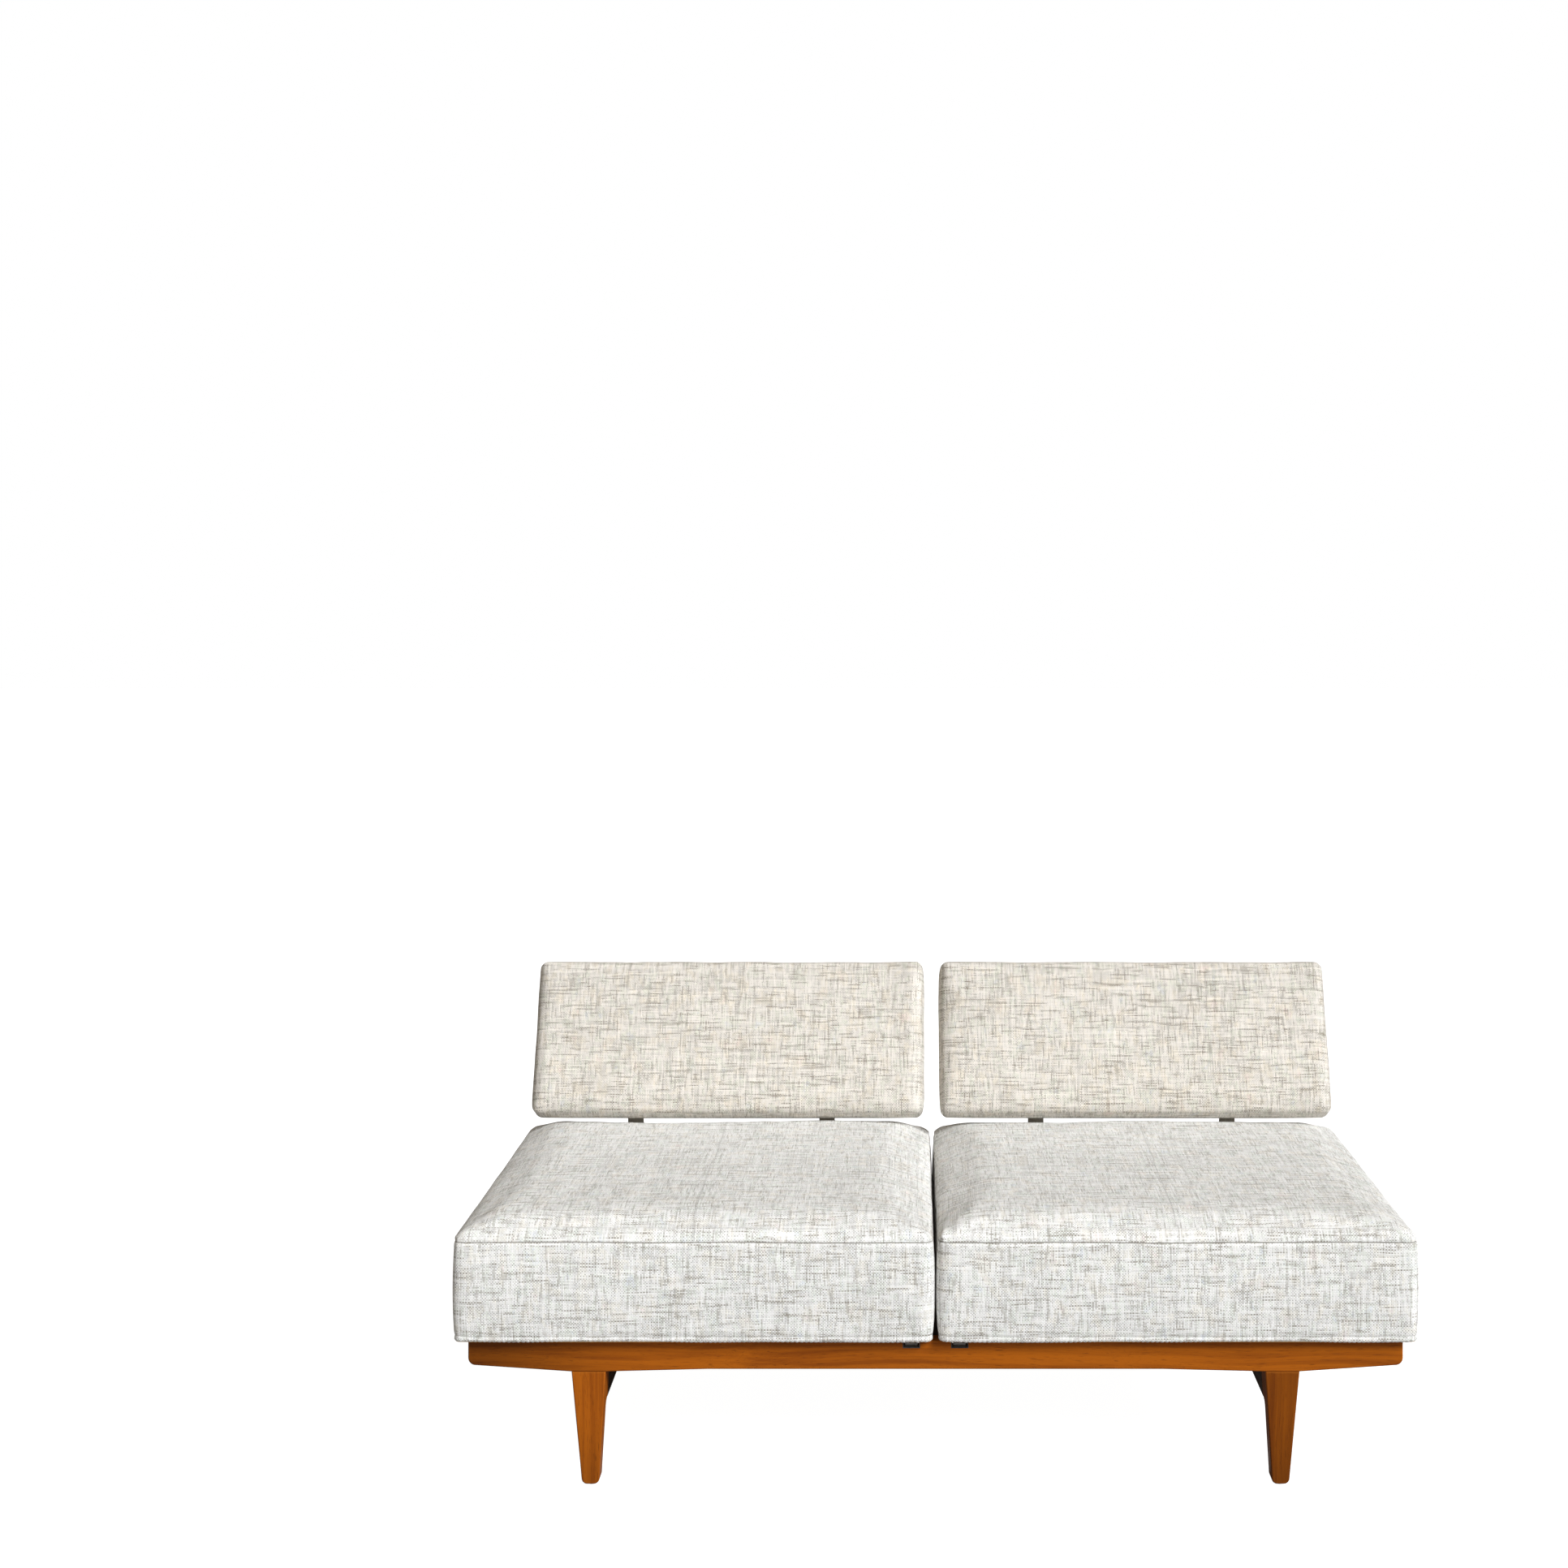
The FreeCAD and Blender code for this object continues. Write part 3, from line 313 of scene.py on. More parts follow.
def make_seat(name, sign):
    """The filled seat: lofted skin, blown up as cloth between its seam and its base, then the seam, the
    fold at its front corner and the cloth's map."""
    half_x, half_y, centre = seat_plan(sign)
    rise = SEAT_HIGH[2] - SEAM - 0.0015
    piece = closed_loft(name, *seat_rings(half_x, half_y, rise))
    mesh = remesh(piece, 0.006)
    co = positions(mesh)
    near_seam = smooth_step(1.8 - np.abs(co[:, 2] - SEAM) / 0.005)
    low = smooth_step((BASE_UNDER + 0.030 - co[:, 2]) / 0.016)
    fill_with_air(piece, np.maximum(near_seam, low), 4.0, 0.0050)
    relax(piece, 5)
    mesh = subdivide(piece)
    co, no = positions(mesh), normals(mesh)
    local = co.copy()
    seed = CLOTH_SEED[sign]
    on_top = smooth_step((co[:, 2] - SEAM) / 0.02)
    above_base = smooth_step((co[:, 2] - BASE_UNDER - 0.012) / 0.03)
    uneven = waves(local, seed, 0.24) * 0.0011 + waves(local, seed + 20, 0.085) * 0.0005
    co += no * (uneven * above_base * (0.6 + 0.9 * on_top))[:, None]
    high = np.exp(-((sign * co[:, 0] + (0.155 if sign < 0 else -0.020)) / 0.13) ** 2)
    rear = smooth_step((co[:, 1] - half_y + 0.24) / 0.12)
    co[:, 2] += on_top * rear * (0.0034 * high - 0.0010)
    seam_line = SEAM + 0.0006 * waves(local * [1, 1, 0], seed + 5, 0.17)
    gap = co[:, 2] - seam_line
    outside = np.maximum(np.abs(local[:, 0]) - half_x, np.abs(local[:, 1]) - half_y) > -0.012
    co[:, 2] = np.where(outside & (np.abs(gap) < 0.0016), seam_line, co[:, 2])
    gap = np.where(outside, co[:, 2] - seam_line, NO_SEAM)
    across = local[:, 0] + local[:, 1]
    pull = -0.0016 * np.exp(-(gap / 0.0021) ** 2) + 0.0005 * np.exp(-((np.abs(gap) - 0.006) / 0.004) ** 2)
    ripple = 0.0003 * np.sin(across * 2 * math.pi / 0.013) * np.exp(-(gap / 0.009) ** 2)
    out = local[:, :2] / np.array([half_x, half_y])
    out = np.where(np.abs(out) > 0.97, np.sign(out), 0)
    flat = np.concatenate([out, np.zeros((len(co), 1))], 1)
    flat /= np.maximum(np.linalg.norm(flat, axis=1, keepdims=True), 1e-9)
    co += flat * (pull + ripple)[:, None]
    if sign > 0:
        co = corner_fold(co, half_x, half_y)
    inner = SEAT_LOW[0] - 0.0007
    limit = half_x + SKIN_GAP + inner
    co[:, 0] = np.where(sign * co[:, 0] < -limit, -sign * limit, co[:, 0])
    co[:, 2] = np.minimum(co[:, 2], BACK_LOW[2] - 0.0012)
    edge = np.stack([half_x - np.abs(co[:, 0]), half_y - np.abs(co[:, 1])], -1)
    nearer = edge <= edge[:, ::-1]
    runs = np.stack([crown_run(edge[:, k], co[:, 2] - SEAM, rise, nearer[:, k]) for k in (0, 1)], -1)
    top_map = np.sign(co[:, :2]) * ((half_x, half_y) - runs)
    box_map = np.stack([side_distance(co[:, 0], co[:, 1], half_x - MAP_CORNER, half_y - MAP_CORNER), co[:, 2]], -1)
    place(mesh, co)
    centres, facing = face_centres(mesh), face_normals(mesh)
    panel = np.where(centres[:, 2] > SEAM, 0, 1)
    panel = np.where(facing[:, 2] < -0.7, 2, panel)
    cloth_map(mesh, panel, (top_map + 3.1 + seed, box_map + 5.3 * seed, co[:, :2]))
    number_on_points(mesh, "seam_gap", gap)
    place(mesh, co + centre)
    shade_smooth(mesh)
    return piece


def corner_fold(co, half_x, half_y):
    """A soft pleat where the cover gathers at the front inner corner: a ridge beside a shallow valley, each
    a bell curve across a line that climbs from the seam and leans in."""
    x, y, z = co[:, 0] + half_x, co[:, 1] + half_y, co[:, 2] - SEAM
    climb = smooth_step(z / 0.006) * smooth_step((0.052 - z) / 0.030)
    line = 0.006 + 0.16 * z
    near = np.exp(-(y / 0.060) ** 2) * climb
    ridge = np.exp(-((x - line) / 0.0042) ** 2)
    valley = np.exp(-((x - line - 0.0125) / 0.0055) ** 2)
    lip = np.exp(-((z - 0.0045) / 0.0035) ** 2) * np.exp(-((x - 0.010) / 0.014) ** 2) * np.exp(-(y / 0.02) ** 2)
    amount = near * (0.0030 * ridge - 0.0028 * valley) + 0.0022 * lip
    return co + amount[:, None] * np.array([-0.15, -0.70, 0.70])


def hem(name, sign):
    """The cover's lower edge, turned under its base: a flat closed section with a rounded outer side, carried
    round the seat, with small gathers where the thick yarn is stitched, a half sine wave along the edge."""
    half_x, half_y, centre = seat_plan(sign)
    under = BASE_UNDER - 0.0019
    a = np.linspace(math.radians(2), math.pi / 2, 7)
    r = HEM_ROUND - 0.0016 + 0.0019 * smooth_step(a / math.radians(42))
    outer = np.stack([HEM_ROUND - r * np.cos(a), under + 0.0005 + HEM_ROUND - r * np.sin(a)], -1)
    section = np.concatenate([[(0.0030, under + 0.0125)], outer, [(0.0125, under + 0.0002), (0.0150, under + 0.0004),
                              (0.0154, under + 0.0012), (0.0148, under + 0.0019), (0.0110, under + 0.0023),
                              (0.0060, under + 0.0060)]])
    path = corner_rings([half_x], [half_y], [SEAT_CORNER], arc=14, side=460)[0]
    step = np.linalg.norm(np.roll(path, -1, 0) - path, axis=1)
    run = np.concatenate([[0], np.cumsum(step)[:-1]])
    along = np.roll(path, -1, 0) - np.roll(path, 1, 0)
    along /= np.linalg.norm(along, axis=1, keepdims=True)
    out = np.stack([along[:, 1], -along[:, 0]], -1)
    gather = np.abs(np.sin(np.pi * run / 0.0077)) * (0.75 + 0.25 * np.sin(run * 41.0 + sign))
    lift = 0.0005 * np.sin(run * 9.0 + 2 * sign) + 0.0004 * np.sin(run * 23.0)
    share = np.array([0, 0, 0.2, 0.8, 1, 1, 1, 0.8, 0.4, 0, 0, 0, 0, 0])
    inset = section[:, 0][:, None] - 0.0007 * share[:, None] * gather
    z = section[:, 1][:, None] + share[:, None] * (lift - 0.0007 * gather + 0.0005)
    xy = path[None] - out[None] * inset[..., None]
    points = np.concatenate([xy, z[..., None]], -1)
    points = np.concatenate([points, points[:1]])
    rows, columns = points.shape[:2]
    lower = make_mesh(name, points, quads(rows, columns, True)[:, ::-1])
    mesh = lower.data
    down = np.concatenate([[0], np.cumsum(np.linalg.norm(np.diff(section, axis=0, append=section[:1]), axis=1))])
    u = side_distance(path[:, 0], path[:, 1], half_x - MAP_CORNER, half_y - MAP_CORNER)
    seed = CLOTH_SEED[sign]
    layout = np.stack([np.broadcast_to(u, (rows, columns)),
                       np.broadcast_to((under + 0.0125 - down)[:, None], (rows, columns))], -1) + 5.3 * seed
    cloth_map(mesh, np.zeros(len(mesh.polygons), int), (layout.reshape(-1, 2),))
    number_on_points(mesh, "seam_gap", np.full(rows * columns, NO_SEAM))
    close_doubles(mesh, 0.00001)
    place(mesh, positions(mesh) + centre)
    shade_smooth(mesh)
    return lower


def close_doubles(mesh, distance):
    b = bmesh.new()
    b.from_mesh(mesh)
    bmesh.ops.remove_doubles(b, verts=b.verts, dist=distance)
    bmesh.ops.recalc_face_normals(b, faces=b.faces)
    b.to_mesh(mesh)
    b.free()


def join(pieces, name):
    """One object of several, with their maps and attributes kept."""
    for o in bpy.context.selected_objects:
        o.select_set(False)
    for o in pieces:
        o.select_set(True)
    bpy.context.view_layer.objects.active = pieces[0]
    bpy.ops.object.join()
    pieces[0].name = name
    return pieces[0]


# ---------------------------------------------------------------- backrests

def lean_back(local, sign):
    """From the backrest's own axes, across, through and up its slope, to where it leans: turned about its
    width by the lean and moved to the middle of its box."""
    c, s = math.cos(LEAN), math.sin(LEAN)
    middle = (BACK_LOW + BACK_HIGH) / 2 * [sign, 1, 1]
    turned = np.stack([local[:, 0], c * local[:, 1] + s * local[:, 2], -s * local[:, 1] + c * local[:, 2]], -1)
    return turned + middle


def make_back(name, sign):
    """The filled backrest: a flat block with round edges, its front and sides blown up as cloth while its
    rear stays flat on the board, then its rear seam and the cloth's map."""
    half = BACK_SIZE / 2 + [0.0006, 0.0006, 0.0022]
    a = np.linspace(math.pi / 2, 0, 6)
    r = BACK_ROUND
    inset = np.concatenate([r * (1 - np.cos(a)), [0, 0, 0], r * (1 - np.cos(a[::-1]))])
    depth = np.concatenate([-half[1] + r * (1 - np.sin(a)), np.linspace(-half[1] + r, half[1] - r, 5)[1:-1],
                            half[1] - r * (1 - np.sin(a[::-1]))])
    shrink = np.linspace(0.03, 1, 8)[:-1]
    ends = corner_rings((half[0] - r) * shrink, (half[2] - r) * shrink, 0.010 * shrink)
    rings = corner_rings(half[0] - inset, half[2] - inset, np.maximum(0.013 - 0.5 * inset, 0.008))
    rings = np.concatenate([ends, rings, ends[::-1]])
    depth = np.concatenate([np.full(len(shrink), -half[1]), depth, np.full(len(shrink), half[1])])
    piece = closed_loft(name, rings, depth)
    co = positions(piece.data)
    place(piece.data, np.stack([co[:, 0], co[:, 2], co[:, 1]], -1))
    piece.data.flip_normals()
    mesh = remesh(piece, 0.005)
    co = positions(mesh)
    held = smooth_step((co[:, 1] - half[1] + 0.020) / 0.010)
    fill_with_air(piece, held, 4.0, 0.0025)
    relax(piece, 2)
    mesh = subdivide(piece)
    co, no = positions(mesh), normals(mesh)
    seed = 14 if sign > 0 else 31
    front = smooth_step((half[1] - 0.012 - co[:, 1]) / 0.03)
    dome = (1 - (co[:, 0] / half[0]) ** 4) * (1 - (co[:, 2] / half[2]) ** 4)
    co[:, 1] -= 0.0015 * np.clip(dome, 0, 1) * (co[:, 1] < 0)
    co += no * (front * (waves(co, seed, 0.20) * 0.0009 + waves(co, seed + 3, 0.07) * 0.0004))[:, None]
    seam_at = half[1] - 0.014
    gap = co[:, 1] - seam_at
    rim = np.maximum(np.abs(co[:, 0]) - half[0], np.abs(co[:, 2]) - half[2]) > -0.006
    co[:, 1] = np.where(rim & (np.abs(gap) < 0.0014), seam_at, co[:, 1])
    gap = np.where(rim, co[:, 1] - seam_at, NO_SEAM)
    co -= no * (0.0014 * np.exp(-(gap / 0.0020) ** 2))[:, None]
    face = np.abs(co[:, [0, 2]]) - (half[[0, 2]] - 0.002)
    face_map = co[:, [0, 2]] + np.sign(co[:, [0, 2]]) * (np.max(face, 1, keepdims=True) > 0) * np.where(
        face == np.max(face, 1, keepdims=True), np.clip(co[:, 1:2] + half[1], 0, None), 0)
    place(mesh, co)
    facing = face_normals(mesh)
    panel = np.where(np.abs(facing[:, 1]) < 0.5, 1, np.where(facing[:, 1] > 0, 2, 0))
    cloth_map(mesh, panel, (face_map + 1.7 * seed, face_map + 1.7 * seed, co[:, [0, 2]] + 0.9 * seed))
    number_on_points(mesh, "seam_gap", gap)
    place(mesh, lean_back(co, sign))
    shade_smooth(mesh)
    return piece


# ---------------------------------------------------------------- cloth under the seats

def dust_sheet(side):
    """The thin cloth stapled under the seat: a grid over the base's inside that sags between its members, by
    the product of two half sine waves, and ripples a little from staple to staple."""
    low, high = span(f"{side}_seat_dust_cover")
    count = 120
    x, y = np.meshgrid(np.linspace(low[0], high[0], count), np.linspace(low[1], high[1], count))
    u, v = (x - low[0]) / (high[0] - low[0]), (y - low[1]) / (high[1] - low[1])
    lap = 0.020
    to_edge = np.minimum(np.minimum(x - low[0], high[0] - x), np.minimum(y - low[1], high[1] - y))
    inside = np.clip(to_edge - lap, 0, None)
    sag = np.sin(np.pi * u) * np.sin(np.pi * v) * np.tanh(inside / 0.05)
    ripple = (np.sin(x * 2 * math.pi / 0.060) + np.sin(y * 2 * math.pi / 0.060)) * np.exp(-inside / 0.05)
    z = high[2] - 0.0004 - 0.0030 * sag + 0.00012 * ripple * (inside > 0)
    sheet = make_mesh(f"{side}_dust_cloth", np.stack([x, y, z], -1), quads(count, count, False))
    sheet.data.flip_normals()
    m = sheet.modifiers.new("Thickness", "SOLIDIFY")
    m.thickness, m.offset = 0.0005, 0.0
    mesh = settle(sheet)
    shade_smooth(mesh)
    return sheet, (high[0] - low[0], high[1] - low[1]), low, high


def staples(name, low, high):
    """Staples round the cloth's edge, each a flat bar with two rounded shoulders that run up into the wood."""
    crown, pitch, inset = 0.011, 0.058, 0.006
    profile = np.array([(-0.5, 0.9), (-0.5, 0.25), (-0.42, 0.0), (0.42, 0.0), (0.5, 0.25), (0.5, 0.9)])
    line = profile * [crown, 0.0012]
    places = []
    for axis in (0, 1):
        other = 1 - axis
        count = int((high[axis] - low[axis]) / pitch)
        along = np.linspace(low[axis] + 0.03, high[axis] - 0.03, count)
        for edge in (low[other] + inset, high[other] - inset):
            for a in along:
                p = [0, 0]
                p[axis], p[other] = a, edge
                places.append((*p, axis))
    places = np.array(places)
    z = low[2] - 0.0008
    wide = 0.0006
    section = np.array([(-wide, 0), (wide, 0), (wide, 0.0005), (-wide, 0.0005)])
    base = np.stack([np.broadcast_to(line[:, None, 0], (6, 4)), np.broadcast_to(section[None, :, 0], (6, 4)),
                     line[:, None, 1] + section[None, :, 1]], -1)
    rotated = np.where(places[:, 2].reshape(-1, 1, 1, 1) > 0.5, base[None][..., [1, 0, 2]], base[None])
    points = rotated + np.concatenate([places[:, :2], np.full((len(places), 1), z)], 1)[:, None, None, :]
    one = quads(6, 4, True)
    caps = np.array([[0, 1, 2, 3], [23, 22, 21, 20]])
    one = np.concatenate([one, caps])
    faces = (one[None] + (np.arange(len(places)) * 24)[:, None, None]).reshape(-1, 4)
    piece = make_mesh(name, points, faces)
    close_doubles(piece.data, 1e-7)
    return piece


# ---------------------------------------------------------------- shader building

def node(tree, kind, inputs=None, **settings):
    """A shader node with its settings made and its sockets set or joined."""
    made = tree.nodes.new("ShaderNode" + kind)
    for key, value in settings.items():
        setattr(made, key, value)
    for key, value in (inputs or {}).items():
        if isinstance(value, bpy.types.NodeSocket):
            tree.links.new(value, made.inputs[key])
        else:
            made.inputs[key].default_value = value
    return made


def calc(tree, operation, a, b=0.0, c=0.0, clamp=False):
    return node(tree, "Math", {0: a, 1: b, 2: c}, operation=operation, use_clamp=clamp).outputs[0]


def times(tree, a, b, clamp=False):
    return calc(tree, "MULTIPLY", a, b, clamp=clamp)


def vector_calc(tree, operation, a, b=(0, 0, 0)):
    return node(tree, "VectorMath", {0: a, 1: b}, operation=operation).outputs[0]


def ease(tree, value, low, high):
    """0 below low, 1 above high, and a smooth step between."""
    return node(tree, "MapRange", {"Value": value, "From Min": low, "From Max": high, "To Min": 0.0,
                                   "To Max": 1.0}, interpolation_type="SMOOTHSTEP").outputs["Result"]


def scaled(tree, vector, factors):
    return vector_calc(tree, "MULTIPLY", vector, factors)


def shaded(tree, colour, share):
    """A colour times one number."""
    return scaled(tree, colour, node(tree, "CombineXYZ", {0: share, 1: share, 2: share}).outputs[0])


def cloud(tree, vector, scale=1.0, detail=2.0, rough=0.5, distort=0.0):
    return node(tree, "TexNoise", {"Vector": vector, "Scale": scale, "Detail": detail, "Roughness": rough,
                                   "Distortion": distort}).outputs["Fac"]


def mix(tree, share, a, b, way="MIX"):
    made = node(tree, "Mix", data_type="RGBA", blend_type=way)
    for key, value in ((0, share), (6, a), (7, b)):
        if isinstance(value, bpy.types.NodeSocket):
            tree.links.new(value, made.inputs[key])
        else:
            made.inputs[key].default_value = (*value, 1.0) if isinstance(value, tuple) and len(value) == 3 else value
    return made.outputs[2]


def new_group(name, inputs, outputs):
    """An empty shader group with these sockets: name, kind and starting value."""
    group = bpy.data.node_groups.new(name, "ShaderNodeTree")
    for title, kind, start in inputs:
        socket = group.interface.new_socket(name=title, in_out="INPUT", socket_type="NodeSocket" + kind)
        if start is not None:
            socket.default_value = start
    for title, kind in outputs:
        group.interface.new_socket(name=title, in_out="OUTPUT", socket_type="NodeSocket" + kind)
    return group, group.nodes.new("NodeGroupInput").outputs, group.nodes.new("NodeGroupOutput").inputs


def build_weave():
    """Coarse plain weave of thick yarns: cells alternate between warp and weft. Each yarn has its own tone,
    read from its number and drawn out along it, so dark slubs and pale ribs run straight for random lengths.
    Loose patches show holes at every other cell, coloured with painted shade; the yarns are darkened with painted shade
    towards each cell's border; and slow noise tints the yarns."""
    g, given, put = new_group(
        "Basket weave",
        [("Vector", "Vector", None), ("Pitch", "Float", 0.0047), ("Ground", "Color", (0.8, 0.8, 0.8, 1)),
         ("Hole", "Color", (0.2, 0.2, 0.2, 1)), ("Slub", "Color", (0.4, 0.35, 0.3, 1)),
         ("Tint strength", "Float", 0.5), ("Hole strength", "Float", 1.0)],
        [("Color", "Color"), ("Height", "Float"), ("Rough", "Float")])
    slow = node(g, "TexNoise", {"Vector": given["Vector"], "Scale": 14.0, "Detail": 1.0}).outputs["Color"]
    quick = node(g, "TexNoise", {"Vector": given["Vector"], "Scale": 160.0, "Detail": 1.0}).outputs["Color"]
    bend = vector_calc(g, "ADD", scaled(g, vector_calc(g, "SUBTRACT", slow, (0.5, 0.5, 0.5)), (0.0042, 0.0042, 0.0)),
                       scaled(g, vector_calc(g, "SUBTRACT", quick, (0.5, 0.5, 0.5)), (0.0009, 0.0009, 0.0)))
    at = vector_calc(g, "ADD", given["Vector"], bend)
    x, y = node(g, "SeparateXYZ", {0: at}).outputs[:2]
    yarns = calc(g, "DIVIDE", 2.0, given["Pitch"])
    across, along = times(g, x, yarns), times(g, y, yarns)
    warp_no, weft_no = calc(g, "FLOOR", across), calc(g, "FLOOR", along)
    arch_u = calc(g, "SINE", times(g, calc(g, "FRACT", across), math.pi))
    arch_v = calc(g, "SINE", times(g, calc(g, "FRACT", along), math.pi))
    weft_on_top = times(g, calc(g, "FRACT", times(g, calc(g, "ADD", warp_no, weft_no), 0.5)), 2.0)

    def yarn_tone(number, way, stretch, step, depth):
        spot = node(g, "CombineXYZ", {0: times(g, number, step), 1: times(g, way, stretch), 2: depth})
        return cloud(g, spot.outputs[0], 1.0, 2.0, 0.55)

    warp, weft = yarn_tone(warp_no, y, 33.0, 3.73, 2.7), yarn_tone(weft_no, x, 19.0, 4.19, 8.3)
    warp_wide, weft_wide = yarn_tone(warp_no, y, 7.0, 0.55, 15.1), yarn_tone(weft_no, x, 7.0, 0.47, 21.9)
    top = calc(g, "ADD", times(g, warp, calc(g, "SUBTRACT", 1.0, weft_on_top)), times(g, weft, weft_on_top))
    dark_warp, dark_weft = ease(g, warp, 0.545, 0.66), ease(g, weft, 0.555, 0.67)
    slub = calc(g, "ADD", times(g, ease(g, top, 0.56, 0.68), 0.52),
                times(g, calc(g, "MAXIMUM", times(g, dark_warp, 0.4), dark_weft), 0.30), clamp=True)
    rib = calc(g, "SUBTRACT", 1.0, ease(g, warp, 0.36, 0.46))
    rib_across = calc(g, "SUBTRACT", 1.0, ease(g, weft, 0.34, 0.43))
    cell = times(g, arch_u, arch_v)
    where = ease(g, cloud(g, scaled(g, given["Vector"], (52.0, 17.0, 1.0)), 1.0, 3.0, 0.6), 0.38, 0.58)
    ragged = ease(g, cloud(g, given["Vector"], 300.0, 1.0), 0.30, 0.55)
    holes = times(g, ease(g, cell, 0.30, 0.80), weft_on_top)
    holes = times(g, times(g, holes, ragged), calc(g, "MULTIPLY_ADD", where, 0.72, 0.34))
    holes = times(g, times(g, holes, given["Hole strength"]),
                 calc(g, "SUBTRACT", 1.0, times(g, calc(g, "MAXIMUM", rib, rib_across), 0.8)), clamp=True)
    seams = calc(g, "SUBTRACT", 1.0, ease(g, cell, 0.0, 0.32))
    hue = cloud(g, scaled(g, given["Vector"], (38.0, 24.0, 1.0)), 1.0, 3.0, 0.65)
    tint = node(g, "ValToRGB", {0: hue})
    ramp = tint.color_ramp
    ramp.interpolation = "EASE"
    ramp.elements[0].position, ramp.elements[0].color = 0.30, (0.80, 0.88, 0.98, 1)
    ramp.elements[1].position, ramp.elements[1].color = 0.72, (0.98, 0.82, 0.78, 1)
    for spot, tone in ((0.40, (0.90, 0.97, 0.86)), (0.50, (1.0, 1.0, 1.0)), (0.60, (1.0, 0.97, 0.84))):
        ramp.elements.new(spot).color = (*tone, 1)
    colour = mix(g, given["Tint strength"], given["Ground"], mix(g, 1.0, given["Ground"], tint.outputs[0], "MULTIPLY"))
    wide = calc(g, "MULTIPLY_ADD", calc(g, "ADD", warp_wide, weft_wide), 0.62, 0.36)
    shade = times(g, wide, calc(g, "MULTIPLY_ADD", top, -0.55, 1.26))
    # Painted shade: each yarn darkens towards its cell's border, where it dips under its neighbour.
    shade = times(g, shade, calc(g, "MULTIPLY_ADD", seams, -0.13, 1.0))
    colour = shaded(g, colour, shade)
    pale = scaled(g, given["Ground"], (1.02, 1.02, 1.02))
    colour = mix(g, times(g, rib, 0.66), colour, pale)
    colour = mix(g, times(g, rib_across, 0.42), colour, pale)
    colour = mix(g, slub, colour, given["Slub"])
    # Painted shade: the holes take the Hole colour, the shade seen through the weave.
    colour = mix(g, times(g, holes, 0.92), colour, given["Hole"])
    height = calc(g, "ADD", cell, times(g, calc(g, "ADD", rib, times(g, rib_across, 0.6)), 0.55))
    height = calc(g, "SUBTRACT", height, times(g, holes, 0.9))
    height = calc(g, "ADD", height, times(g, cloud(g, given["Vector"], 900.0, 2.0), 0.35))
    g.links.new(colour, put["Color"])
    g.links.new(height, put["Height"])
    g.links.new(calc(g, "MULTIPLY_ADD", holes, 0.1, 0.86, clamp=True), put["Rough"])
    return g


def build_grain():
    """Wood grain along the first axis of its vector: slow bands bent by noise, fine fibres and short dark
    pores, each a noise drawn out along the grain."""
    g, given, put = new_group(
        "Wood grain",
        [("Vector", "Vector", None), ("Light", "Color", (0.4, 0.1, 0.01, 1)), ("Deep", "Color", (0.2, 0.05, 0.01, 1)),
         ("Pore", "Color", (0.08, 0.02, 0.005, 1)), ("Band", "Float", 1.0), ("Pores", "Float", 1.0)],
        [("Color", "Color"), ("Height", "Float"), ("Rough", "Float")])
    at = given["Vector"]
    slow = node(g, "TexNoise", {"Vector": scaled(g, at, (1.6, 9.0, 9.0)), "Scale": 1.0, "Detail": 2.0}).outputs["Color"]
    bent = vector_calc(g, "ADD", at, scaled(g, vector_calc(g, "SUBTRACT", slow, (0.5, 0.5, 0.5)), (0.0, 0.055, 0.055)))
    bands = cloud(g, scaled(g, bent, (1.4, 95.0, 95.0)), 1.0, 3.0, 0.6, 0.2)
    fibres = cloud(g, scaled(g, bent, (7.0, 520.0, 520.0)), 1.0, 3.0, 0.65)
    patches = cloud(g, scaled(g, at, (3.5, 12.0, 12.0)), 1.0, 2.0)
    pores = ease(g, cloud(g, scaled(g, bent, (38.0, 1500.0, 1500.0)), 1.0, 1.0), 0.63, 0.74)
    share = calc(g, "MULTIPLY_ADD", ease(g, bands, 0.34, 0.68), given["Band"], 0.0)
    share = calc(g, "ADD", share, times(g, calc(g, "SUBTRACT", fibres, 0.5), 0.75))
    share = calc(g, "ADD", share, times(g, calc(g, "SUBTRACT", patches, 0.5), 0.9), clamp=True)
    colour = mix(g, share, given["Light"], given["Deep"])
    pore_share = times(g, pores, given["Pores"], clamp=True)
    colour = mix(g, times(g, pore_share, 0.75), colour, given["Pore"])
    height = calc(g, "SUBTRACT", times(g, fibres, 0.4), pore_share)
    g.links.new(colour, put["Color"])
    g.links.new(height, put["Height"])
    g.links.new(calc(g, "MULTIPLY_ADD", share, 0.14, 0.36), put["Rough"])
    return g


def build_edges():
    """Mask near the long edges of a box: the second smallest of a point's three distances in from its faces,
    broken up by noise."""
    g, given, put = new_group(
        "Edge rub", [("Vector", "Vector", None), ("Centre", "Vector", None), ("Half size", "Vector", None),
                     ("Reach", "Float", 0.004)], [("Mask", "Float")])
    off = vector_calc(g, "ABSOLUTE", vector_calc(g, "SUBTRACT", given["Vector"], given["Centre"]))
    d = node(g, "SeparateXYZ", {0: vector_calc(g, "SUBTRACT", given["Half size"], off)}).outputs
    low, high = calc(g, "MINIMUM", d[0], d[1]), calc(g, "MAXIMUM", d[0], d[1])
    second = calc(g, "MAXIMUM", low, calc(g, "MINIMUM", high, d[2]))
    ragged = calc(g, "MULTIPLY_ADD", cloud(g, given["Vector"], 110.0, 3.0, 0.6), 1.6, 0.2)
    near = calc(g, "SUBTRACT", 1.0, calc(g, "DIVIDE", second, times(g, given["Reach"], ragged)), clamp=True)
    g.links.new(near, put["Mask"])
    return g


